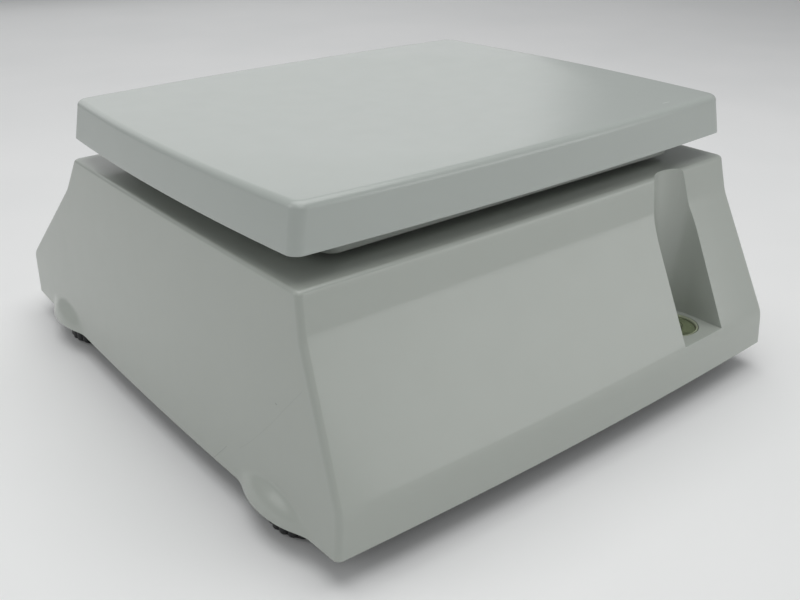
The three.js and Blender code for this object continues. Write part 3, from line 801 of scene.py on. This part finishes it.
finish_normals(fo, 38)
ride_piece(fo, "weighing_head", "platter_frame", "housing_plastic")
for sx, sy, nm in ((1, 1, "rear_right"), (-1, 1, "rear_left"), (1, -1, "front_right"), (-1, -1, "front_left")):
    b = lathe("buffer_" + nm, [(0, 160), (2.9, 160), (3.3, 160.5), (3.6, 161.4), (3.45, 164.5), (3.45, 167.3), (7.6, 167.3), (8, 167.7), (8, 171.2),
                               (7.75, 171.8), (7.1, 172.3), (6.2, 172.5), (3.2, 172.5), (2.6, 172.1), (2.1, 171.6), (0, 171.4)], 48,
              x=sx * 118, y=sy * 98)
    finish_normals(b, 40)
    ride_piece(b, "weighing_head", "platter_buffer_" + nm, "rubber")

# ------------------------------------------------------------------- key caps
KEYS = [["7", "8", "9", "tare"], ["4", "5", "6", "zero"], ["1", "2", "3", "add"], ["clear", "0", "point", "total"]]
SIGNS = {"tare": "T", "zero": ">0<", "add": "+", "clear": "C", "point": ".", "total": "="}
h = KEY / 2


def key_ring(inset_by, r, z, n_side=8):
    st = [i / n_side for i in range(1, n_side)]
    return round_rect(h - inset_by, -(h - inset_by), h - inset_by, r, z, arc=6, ts=st, xs=st)


def glyphs(name, text, size, m, depth=0.06):
    """Printed characters: a thin flat mesh, centred, in the plane of matrix m."""
    cu = D.curves.new(name, "FONT")
    cu.body = text
    cu.size = size
    cu.extrude = depth / 2
    cu.resolution_u = 6
    cu.align_x, cu.align_y = "CENTER", "CENTER"
    ob = D.objects.new(name, cu)
    bpy.context.scene.collection.objects.link(ob)
    bpy.context.view_layer.update()
    dg = bpy.context.evaluated_depsgraph_get()
    me = D.meshes.new_from_object(ob.evaluated_get(dg))
    D.objects.remove(ob)
    D.curves.remove(cu)
    me.materials.clear()
    xs_ = [v.co.x for v in me.vertices]
    ys_ = [v.co.y for v in me.vertices]
    cx, cy = (min(xs_) + max(xs_)) / 2, (min(ys_) + max(ys_)) / 2
    if text == ".":
        cy = min(ys_) + size * 0.08
    for v in me.vertices:
        q = m @ Vector((v.co.x - cx, v.co.y - cy, v.co.z))
        v.co = P(q.x, q.y, q.z)
    o = D.objects.new(name, me)
    bpy.context.scene.collection.objects.link(o)
    fix(o)
    return o


for r_i in range(4):
    for c_i in range(4):
        nm = KEYS[r_i][c_i]
        m = CONSOLE @ Matrix.Translation((KEY_X0 + c_i * KEY_PITCH, KEY_V0 + (3 - r_i) * KEY_PITCH, 0))
        rr = [key_ring(-0.9, 1.2, -4.6), key_ring(-0.9, 1.2, -3.9), key_ring(-0.6, 1.2, -3.6), key_ring(0.0, 2.0, -3.6), key_ring(0.0, 2.0, 1.5)]
        for i in range(1, 7):
            a = i / 6 * math.pi / 2
            rr.append(key_ring(0.25 + 1.35 * (1 - math.cos(a)), 2.2 - 0.5 * (1 - math.cos(a)), 1.9 + 1.5 * math.sin(a)))
        last = rr[-1]
        for s in (0.92, 0.82, 0.7, 0.55, 0.4, 0.25, 0.12):
            rr.append([(p[0] * s, p[1] * s, 3.4 - 0.55 * (1 - s * s)) for p in last])
        rr.append([(0, 0, 3.4 - 0.55)])
        rr = [[m @ Vector(p) for p in q] for q in rr]
        k = fix(loft("keycap_" + nm, rr))
        finish_normals(k, 40)
        ride_piece(k, "key_" + nm, "key_" + nm, "key_plastic")
        txt = SIGNS.get(nm, nm)
        g = glyphs("legend_" + nm, txt, 10.5 if len(txt) == 1 else 7.0, m @ Matrix.Translation((0, 0, 2.93)), 0.24)
        ride_piece(g, "key_" + nm, None, "dark_plastic")

# ----------------------------------------------------------- display and its LCD
wx0, wx1, wv0, wv1 = LCD[0] + 0.3, LCD[1] - 0.3, LCD[2] + 0.3, LCD[3] - 0.3


def plate(name, x0, x1, v0, v1, z0, z1, r, edge, m, seg=6):
    cx = (x0 + x1) / 2
    hx, hv, vc = (x1 - x0) / 2, (v1 - v0) / 2, (v0 + v1) / 2
    rr = []
    for ins, z in ((edge, z0), (edge * 0.3, z0 + edge * 0.3), (0, z0 + edge), (0, z1 - edge), (edge * 0.3, z1 - edge * 0.3), (edge, z1)):
        ring = round_rect(hx - ins, vc - hv + ins, vc + hv - ins, max(0.2, r - ins), z, arc=seg)
        rr.append([m @ Vector((cx + p[0], p[1], p[2])) for p in ring])
    o = fix(loft(name, rr))
    return o


win = plate("display_window_pane", wx0, wx1, wv0, wv1, -1.3, 0.3, 3.2, 0.3, CONSOLE)
finish_normals(win, 35)
ride_piece(win, "housing", "display_window", "display_window")
lcd = plate("display_lcd_glass", LCD[0] + 7, LCD[1] - 7, LCD[2] + 7, LCD[3] - 7, -6.6, -3.4, 0.6, 0.25, CONSOLE)
finish_normals(lcd, 35)
ride_piece(lcd, "housing", "display_lcd", "lcd")

SEG = {"0": "abcdef", "8": "abcdefg", "-": "g"}


def digit(verts, faces, x, v, w, hgt, t, segs, dot):
    g = t * 0.18

    def hexa(x0, y0, x1, y1):
        base = len(verts)
        dx, dy = x1 - x0, y1 - y0
        ln = math.hypot(dx, dy)
        ux, uy = dx / ln, dy / ln
        px, py = -uy * t / 2, ux * t / 2
        x0, y0, x1, y1 = x0 + ux * g, y0 + uy * g, x1 - ux * g, y1 - uy * g
        a = t / 2
        pts = [(x0, y0), (x0 + ux * a + px, y0 + uy * a + py), (x1 - ux * a + px, y1 - uy * a + py), (x1, y1),
               (x1 - ux * a - px, y1 - uy * a - py), (x0 + ux * a - px, y0 + uy * a - py)]
        slant = 0.09
        for zz in (-3.38, -3.3):
            verts.extend((p + (q - v) * slant, q, zz) for p, q in pts)
        faces.append(tuple(base + i for i in (5, 4, 3, 2, 1, 0)))
        faces.append(tuple(base + 6 + i for i in range(6)))
        for i in range(6):
            j = (i + 1) % 6
            faces.append((base + i, base + j, base + 6 + j, base + 6 + i))

    x0, x1, y0, ym, y1 = x, x + w, v, v + hgt / 2, v + hgt
    coords = {"a": (x0, y1, x1, y1), "b": (x1, y1, x1, ym), "c": (x1, ym, x1, y0), "d": (x0, y0, x1, y0),
              "e": (x0, y0, x0, ym), "f": (x0, ym, x0, y1), "g": (x0, ym, x1, ym)}
    for s in segs:
        hexa(*coords[s])
    if dot:
        base = len(verts)
        cxd, cyd, rd = x1 + w * 0.32, y0, t * 0.55
        for zz in (-3.38, -3.3):
            verts.extend((cxd + rd * math.cos(TAU * i / 10), cyd + rd * math.sin(TAU * i / 10), zz) for i in range(10))
        faces.append(tuple(base + i for i in range(9, -1, -1)))
        faces.append(tuple(base + 10 + i for i in range(10)))
        for i in range(10):
            j = (i + 1) % 10
            faces.append((base + i, base + j, base + 10 + j, base + 10 + i))


FIELDS = [(-145.0, 5, 3, 0.92), (-85.5, 5, 2, 0.92), (-26.0, 5, 2, 0.92)]
ghost_v, ghost_f = [], []
for x_start, count, places, sc in FIELDS:
    for i in range(count):
        digit(ghost_v, ghost_f, x_start + i * 10.6, 48.5, 6.4, 14.5, 1.5, "abcdefg", i == count - 1 - places)
me_v = [CONSOLE @ Vector(p) for p in ghost_v]
seg_o = fix(new_object("lcd_segments", me_v, ghost_f, smooth=False))
ride_piece(seg_o, "housing", None, "lcd")



# ------------------------------------------------------- power inlet and switch
shell_pts = [(0, -13), (5.5, -13), (5.8, -12.7), (5.8, 0.3), (7.7, 0.3), (8, 0.6), (8, 1.4), (7.85, 1.75), (7.5, 1.9), (3.9, 1.9), (3.4, 1.75),
             (3.1, 1.4), (3.1, -9), (0, -9)]
jack = lathe("inlet_shell", shell_pts, 72, INLET_M)
finish_normals(jack, 35)
ride_piece(jack, "housing", "power_inlet", "black_plastic")
pin = lathe("inlet_pin", [(0, -8.9), (1.05, -8.9), (1.05, -0.1), (0.95, 0.25), (0.7, 0.5), (0.35, 0.6), (0, 0.6)], 32, INLET_M)
finish_normals(pin, 40)
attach(pin, "housing")
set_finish(pin, "steel")

ROCK = SWITCH_M @ Matrix.Rotation(math.radians(-9), 4, "X")
prof = [(-7.2, -4.0), (7.2, -4.0), (7.4, -3.8)]
prof += [(7.4 + 0.5 * i / 6, -3.8 + 7.0 * i / 6) for i in range(1, 6)] + [(7.88, 3.25), (7.7, 3.38)]
n_c = 22
for i in range(1, n_c):
    t = 1 - 2 * i / n_c
    prof.append((7.6 * t, 1.62 + 1.76 * t * t * (1.5 - 0.5 * abs(t))))
prof += [(-7.7, 3.38), (-7.88, 3.25)] + [(-7.9 + 0.5 * i / 6, 3.2 - 7.0 * i / 6) for i in range(1, 6)] + [(-7.4, -3.8)]
cen = (0.0, -0.5)
rr = []
for x, k in ((-4.9, 0.965), (-4.78, 0.988), (-4.55, 1.0), (4.55, 1.0), (4.78, 0.988), (4.9, 0.965)):
    rr.append([ROCK @ Vector((x, cen[0] + (a - cen[0]) * k, cen[1] + (b - cen[1]) * k)) for a, b in prof])
rock = fix(loft("rocker_paddle", rr))
finish_normals(rock, 38)
ride_piece(rock, "rocker", "power_rocker", "dark_plastic")


def rocker_z(a):
    t = a / 7.6
    return 1.62 + 1.76 * t * t * (1.5 - 0.5 * abs(t))


def ribbon(name, pts, width, close):
    """A thin raised line that follows the rocker's face; pts are (x, a)."""
    vs, fs = [], []
    n = len(pts)
    for i, (x, a) in enumerate(pts):
        p0, p1 = pts[(i - 1) % n] if (close or i) else pts[i], pts[(i + 1) % n] if (close or i < n - 1) else pts[i]
        dx, da = p1[0] - p0[0], p1[1] - p0[1]
        ln = math.hypot(dx, da) or 1
        nx, na = -da / ln * width / 2, dx / ln * width / 2
        for s in (-1, 1):
            xx, aa = x + s * nx, a + s * na
            for dz in (-0.05, 0.09):
                vs.append(ROCK @ Vector((xx, aa, rocker_z(aa) + dz)))
    m_ = n if close else n - 1
    for i in range(m_):
        a, b = 4 * i, 4 * ((i + 1) % n)
        for q in ((0, 1, 3, 2),):
            pass
        fs += [(a + 1, b + 1, b + 3, a + 3), (a, a + 2, b + 2, b), (a, b, b + 1, a + 1), (a + 2, a + 3, b + 3, b + 2)]
    if not close:
        fs += [(0, 1, 3, 2), (4 * n - 4, 4 * n - 2, 4 * n - 1, 4 * n - 3)]
    return fix(new_object(name, vs, fs, smooth=False))


on_mark = ribbon("rocker_mark_on", [(-1.6 + 3.2 * i / 6, 4.6) for i in range(7)], 0.55, False)
off_mark = ribbon("rocker_mark_off", [(1.6 * math.cos(TAU * i / 28), -4.6 + 1.6 * math.sin(TAU * i / 28)) for i in range(28)], 0.5, True)
for o in (on_mark, off_mark):
    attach(o, "rocker")
    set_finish(o, "key_plastic")

# ---------------------------------------------------------------- screw heads
for i, (x, y) in enumerate(POSTS):
    s = lathe(f"housing_screw_body_{i + 1}", [(0, 11.4), (2.6, 11.4), (3.4, 11.7), (3.85, 12.3), (4, 13.0), (4, 13.7), (1.9, 13.7), (1.6, 14.0), (1.6, 34.4), (0.8, 35), (0, 35)],
              40, x=x, y=y)
    boolean(s, [box_obj(x - 2.3, x + 2.3, y - 0.45, y + 0.45, 10, 12.6), box_obj(x - 0.45, x + 0.45, y - 2.3, y + 2.3, 10, 12.6)])
    fix(s)
    finish_normals(s, 35)
    ride_piece(s, "housing", f"housing_screw_{i + 1}", "steel")


# --------------------------------------------------------- load cell fasteners
def cap_screw(name, body, node, x, y, z_head, z_tip, r_head=5.0, head=5.0, r=2.9):
    z1_ = z_head + head
    pts = [(0, z_tip), (r - 0.6, z_tip), (r, z_tip + 0.6), (r, z_head), (r_head, z_head), (r_head, z1_ - 0.5), (r_head - 0.15, z1_ - 0.15), (r_head - 0.5, z1_),
           (0, z1_)]
    s = lathe(name, pts, 48, x=x, y=y)
    boolean(s, [rod_obj(2.4, z1_ - 2.6, z1_ + 2, x, y, 6)])
    fix(s)
    bevel_edges(s, lambda c, e: abs(c.z - z1_) < 0.02 and math.hypot(c.x - x, c.y - y) < 2.6, 0.25, 2, 30)
    finish_normals(s, 35)
    ride_piece(s, body, node, "steel")


cap_screw("cell_screw_fixed_outer", "housing", "cell_bolt_fixed_outer", -58, 0, 114.6, 76)
cap_screw("cell_screw_fixed_inner", "housing", "cell_bolt_fixed_inner", -42, 0, 114.6, 76)
cap_screw("cell_screw_moving_front", "weighing_head", "cell_bolt_moving_front", 57, -8, 120.8, 100)
cap_screw("cell_screw_moving_rear", "weighing_head", "cell_bolt_moving_rear", 57, 8, 120.8, 100)

# -------------------------------------------------------------------- materials
GREY = "a9aea7"
MATS = {}
# Hairline cracks low on the right end wall, a speck beside them, and a nick
# in the platter's skin: points in metres in the frame, half width, tone, depth.
MARKS_HOUSING = [
    (((0.18653, 0.08870, 0.01701), (0.18419, 0.10529, 0.03386)), 0.00028, 0.45, 0.0002),
    (((0.18322, 0.11910, 0.03945), (0.18194, 0.12905, 0.04809), (0.18031, 0.14045, 0.05967),
      (0.17923, 0.14774, 0.06727), (0.17700, 0.16152, 0.08341), (0.17496, 0.17450, 0.09802)), 0.00022, 0.22, 0.0001),
    (((0.17747, 0.15212, 0.08170), (0.17746, 0.15304, 0.08155)), 0.00055, 0.7, 0.0),
]
MARKS_PLATTER = [(((-0.11574, 0.15373, 0.18800), (-0.12175, 0.15377, 0.18800)), 0.00060, -0.8, 0.0)]
MATS["housing_plastic"] = plastic("housing_abs", GREY, rough=0.33, grain=0.13, mottling=0.012, marks=MARKS_HOUSING, coat=0.4)
# The platter is the same plastic as the housing; its slightly lighter tone is painted light, standing in for the top
# catching more of the overhead light.
MATS["platter_plastic"] = plastic("platter_abs", "adb3ae", rough=0.30, grain=0.12, mottling=0.010, marks=MARKS_PLATTER, coat=0.4, coat_rough=0.24)
MATS["dark_plastic"] = plastic("charcoal_plastic", "34373a", rough=0.5, grain=0.3, mottling=0.05, specks=False)
MATS["black_plastic"] = plastic("black_plastic", "1b1c1e", rough=0.42, grain=0.22, mottling=0.06, specks=False)
MATS["rubber"] = plastic("rubber", "1d1d1e", rough=0.72, grain=0.35, mottling=0.08, specks=False, spec=0.3)
MATS["key_plastic"] = plastic("key_plastic", "d9dad4", rough=0.42, grain=0.12, mottling=0.012, specks=False)
MATS["battery_case"] = plastic("battery_case", "3b3e43", rough=0.5, grain=0.25, mottling=0.05, specks=False)
MATS["steel"] = metal("zinc_plated_steel", "b9bcc0", rough=0.3, brushed=(1, 1, 6), grain=0.12)
MATS["aluminium"] = metal("machined_aluminium", "c4c7ca", rough=0.38, brushed=(1, 14, 1), grain=0.25)


def board_material():
    n = Nodes("green_laminate")
    b = n.b
    vor = n.new("ShaderNodeTexVoronoi", distance="CHEBYCHEV", feature="F1")
    vor.inputs["Scale"].default_value = 190
    n.link(n.coord.outputs["Object"], vor.inputs["Vector"])
    tr = n.ramp(vor.outputs["Distance"], [(0.38, 0.0), (0.42, 1.0)])
    pads = n.new("ShaderNodeTexVoronoi", feature="F1")
    pads.inputs["Scale"].default_value = 320
    n.link(n.coord.outputs["Object"], pads.inputs["Vector"])
    pd = n.ramp(pads.outputs["Distance"], [(0.14, 1.0), (0.18, 0.0)])
    col = n.mix(n.math("MULTIPLY", tr, 0.5), srgb("1f4d35"), srgb("2f6d4a"))
    col = n.mix(pd, col, srgb("b9a86a"))
    n.link(col, b.inputs["Base Color"])
    n.link(n.ramp(n.noise(80, 3), [(0.3, 0.3), (0.7, 0.45)]), b.inputs["Roughness"])
    n.link(n.bump(tr, 0.3, 0.0001), b.inputs["Normal"])
    return n.mat


MATS["circuit_board"] = board_material()


def console_xy(n):
    """Coordinates on the console's face in millimetres, from object coordinates."""
    off = n.new("ShaderNodeVectorMath", operation="SUBTRACT")
    n.link(n.coord.outputs["Object"], off.inputs[0])
    off.inputs[1].default_value = (0, (-241 + SHIFT) * MM, (39.5 + SHIFT_Z) * MM)
    ax = n.new("ShaderNodeVectorMath", operation="DOT_PRODUCT")
    n.link(off.outputs["Vector"], ax.inputs[0])
    ax.inputs[1].default_value = (1000, 0, 0)
    av = n.new("ShaderNodeVectorMath", operation="DOT_PRODUCT")
    n.link(off.outputs["Vector"], av.inputs[0])
    av.inputs[1].default_value = (0, 1000 * math.cos(SLOPE), 1000 * math.sin(SLOPE))
    return ax.outputs["Value"], av.outputs["Value"]


def rect_mask(n, x, v, x0, x1, v0, v1, blur=0.25):
    def edge(a, b):
        return n.math("DIVIDE", n.math("SUBTRACT", a, b), blur, clamp=True)
    m = n.math("MULTIPLY", edge(x, x0), edge(x1, x))
    return n.math("MULTIPLY", m, n.math("MULTIPLY", edge(v, v0), edge(v1, v)))


def window_material():
    n = Nodes("smoked_window")
    b = n.b
    b.inputs["IOR"].default_value = 1.49
    b.inputs["Specular IOR Level"].default_value = 0.5
    x, v = console_xy(n)
    clear = None
    for x0, count, places, sc in FIELDS:
        m = rect_mask(n, x, v, x0 - 3.5, x0 + 53.5, 43.5, 68.0)
        clear = m if clear is None else n.math("MAXIMUM", clear, m)
    line = rect_mask(n, x, v, -150, 36, 34.6, 35.4, 0.2)
    col = n.mix(clear, n.mix(line, n.ramp(n.noise(70, 4), [(0.3, srgb("24282a")), (0.7, srgb("2c3133"))]), srgb("9aa09c")), srgb("dfe5de"))
    n.link(col, b.inputs["Base Color"])
    n.link(clear, b.inputs["Transmission Weight"])
    n.link(n.ramp(n.noise(120, 4), [(0.35, 0.06), (0.75, 0.16)]), b.inputs["Roughness"])
    n.link(n.bump(n.noise(22, 2), 0.05, 0.0003), b.inputs["Normal"])
    return n.mat


MATS["display_window"] = window_material()


def lcd_material(name, a, b_, rough):
    n = Nodes(name)
    n.link(n.ramp(n.noise(40, 3), [(0.3, srgb(a)), (0.7, srgb(b_))]), n.b.inputs["Base Color"])
    n.link(n.ramp(n.noise(500, 2), [(0.3, rough), (0.7, rough + 0.1)]), n.b.inputs["Roughness"])
    return n.mat


MATS["lcd"] = lcd_material("lcd_reflector", "8c967c", "98a188", 0.3)
MATS["lcd_segment"] = lcd_material("lcd_segment_off", "7c866e", "828c74", 0.35)


def radial(n, cx, cy):
    off = n.new("ShaderNodeVectorMath", operation="SUBTRACT")
    n.link(n.coord.outputs["Object"], off.inputs[0])
    off.inputs[1].default_value = P(cx, cy, 0)
    flat = n.new("ShaderNodeVectorMath", operation="MULTIPLY")
    n.link(off.outputs["Vector"], flat.inputs[0])
    flat.inputs[1].default_value = (1000, 1000, 0)
    ln = n.new("ShaderNodeVectorMath", operation="LENGTH")
    n.link(flat.outputs["Vector"], ln.inputs[0])
    return ln.outputs["Value"]


def level_body_material():
    n = Nodes("level_tinted_acrylic")
    b = n.b
    r = radial(n, lx, ly)
    base = n.ramp(n.noise(120, 4), [(0.3, srgb("a0a68f")), (0.7, srgb("a9af98"))])
    n.link(base, b.inputs["Base Color"])
    n.link(n.ramp(n.noise(200, 3), [(0.3, 0.18), (0.7, 0.3)]), b.inputs["Roughness"])
    return n.mat


def level_fluid_material():
    n = Nodes("level_fluid_green")
    b = n.b
    r = radial(n, lx, ly)
    # Painted shade: the fluid is coloured darker within about 7 mm of its centre, where the bubble looks dark through
    # the lens.
    dark = n.ramp(n.math("DIVIDE", r, 20.0), [(0.30, 1.0), (0.36, 0.0)])
    green = n.ramp(n.noise(90, 3), [(0.3, srgb("a7ad95")), (0.7, srgb("b0b69e"))])
    col = n.mix(dark, green, srgb("67635d"))
    n.link(col, b.inputs["Base Color"])
    n.link(n.ramp(n.noise(200, 3), [(0.3, 0.12), (0.7, 0.22)]), b.inputs["Roughness"])
    b.inputs["IOR"].default_value = 1.45
    return n.mat


def clear_material():
    n = Nodes("clear_acrylic")
    b = n.b
    b.inputs["IOR"].default_value = 1.49
    b.inputs["Transmission Weight"].default_value = 1.0
    n.link(n.ramp(n.noise(60, 3), [(0.3, srgb("e9efdc")), (0.7, srgb("f2f6e8"))]), b.inputs["Base Color"])
    n.link(n.ramp(n.noise(150, 4), [(0.35, 0.03), (0.75, 0.12)]), b.inputs["Roughness"])
    n.link(n.bump(n.noise(60, 2), 0.04, 0.0002), b.inputs["Normal"])
    return n.mat


MATS["level_mark"] = plastic("level_ring_paint", "5d5b52", rough=0.4, grain=0.1, mottling=0.03, specks=False)
MATS["level_green"] = level_body_material()
MATS["level_fluid"] = level_fluid_material()
MATS["level_lens"] = clear_material()
OWN = {"level_fluid_and_bubble": "level_fluid", "level_target_ring": "level_mark", "lcd_segments": "lcd_segment"}


def put(o, m, extra=None):
    o.data.materials.clear()
    o.data.materials.append(m)
    if extra is not None:
        o.data.materials.append(extra)


for o in [o for o in D.objects if o.type == "MESH" and "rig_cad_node" not in o]:
    key = OWN.get(o.name) or o.get("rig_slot")
    if key:
        put(o, MATS[key])
for name in FOOT_NAMES:
    o = D.objects["knob_" + name]
    o.data.materials.append(MATS["rubber"])
    for p in o.data.polygons:
        if p.center.z < 2.15 * MM:
            p.material_index = 1

SLOTS = {s["node"]: s["material_slot"] for s in frame["record"]["subparts"]}
BEVELS = {"base_tray": 0.5, "battery_door": 0.5, "keypad_frame": 0.35, "switch_body": 0.5, "load_cell": 0.6, "load_cell_pedestal": 0.8,
          "platter_riser": 0.6, "battery": 0.8, "main_board": 0.15, "key_board": 0.15, "display_board": 0.15, "overload_stop_screw": 0.3}
for nm, o in NODES.items():
    if o.hide_render:
        put(o, MATS[SLOTS[nm]])
        continue
    put(o, MATS[SLOTS[nm]])
    me = o.data
    me.shade_smooth()
    me.set_sharp_from_angle(angle=math.radians(34))
    w = BEVELS.get(nm)
    if w:
        b = o.modifiers.new("edge", "BEVEL")
        b.width = w * MM
        b.segments = 2
        b.limit_method = "ANGLE"
        b.angle_limit = math.radians(40)
        b.harden_normals = False
        b.use_clamp_overlap = True

# ------------------------------------------------------------------------ floor
fl = D.meshes.new("floor")
fl.from_pydata([(-4, -4, -0.0004), (4, -4, -0.0004), (4, 4, -0.0004), (-4, 4, -0.0004)], [], [(0, 1, 2, 3)])
floor = D.objects.new("floor", fl)
bpy.context.scene.collection.objects.link(floor)
n = Nodes("pale_floor")
n.link(n.ramp(n.noise(3, 3), [(0.3, (0.86, 0.865, 0.86, 1)), (0.7, (0.90, 0.90, 0.895, 1))]), n.b.inputs["Base Color"])
n.link(n.ramp(n.noise(12, 3), [(0.3, 0.7), (0.7, 0.85)]), n.b.inputs["Roughness"])
n.b.inputs["Specular IOR Level"].default_value = 0.2
fl.materials.append(n.mat)

# ----------------------------------------------------------------------- lights
world = D.worlds.new("studio")
bpy.context.scene.world = world
world.use_nodes = True
bg = world.node_tree.nodes["Background"]
bg.inputs["Color"].default_value = (0.96, 0.98, 1.0, 1)
bg.inputs["Strength"].default_value = 0.27


def area(name, loc, target, size, power, color=(1, 1, 1)):
    li = D.lights.new(name, "AREA")
    li.shape = "RECTANGLE"
    li.size, li.size_y = size
    li.energy = power
    li.color = color
    ob = D.objects.new(name, li)
    ob.location = loc
    d = Vector(target) - Vector(loc)
    ob.rotation_euler = d.to_track_quat("-Z", "Y").to_euler()
    bpy.context.scene.collection.objects.link(ob)
    return ob


area("overhead", (0.0, 0.1, 1.5), (0, 0.05, 0), (1.5, 1.5), 14.0)
area("side_left", (1.45, -0.5, 0.95), (0, 0, 0.08), (0.9, 0.8), 3.0)
area("side_right", (-0.95, 1.4, 0.42), (0, 0.1, 0.07), (1.1, 0.62), 3.7)
area("camera_side", (0.8, 1.2, 1.3), (0, 0, 0.06), (0.7, 0.7), 2.4)
area("front_fill", (-0.5, -1.75, 0.85), (0, 0, 0.08), (2.6, 1.1), 5.0)

# ----------------------------------------------------------------------- camera
CAM_C = Vector((0.378769381, 0.511375467, 0.334658699))
CAM_T = Vector((0.0601739044, 0.1062550887, 0.087))
ROLL = -0.0119818889
d = (CAM_T - CAM_C).normalized()
r0 = d.cross(Vector((0, 0, 1))).normalized()
u0 = r0.cross(d)
right = r0 * math.cos(ROLL) + u0 * math.sin(ROLL)
up = u0 * math.cos(ROLL) - r0 * math.sin(ROLL)
cam = D.cameras.new("camera")
cam.sensor_width = 36
cam.lens = 937.865670 / 800 * 36
cam.clip_start = 0.01
cam.clip_end = 50
cam_o = D.objects.new("camera", cam)
mw = Matrix.Identity(4)
for i, c in enumerate((right, up, -d, CAM_C)):
    for k in range(3):
        mw[k][i] = c[k]
cam_o.matrix_world = mw
bpy.context.scene.collection.objects.link(cam_o)
bpy.context.scene.camera = cam_o
bpy.context.scene.view_settings.view_transform = "Standard"
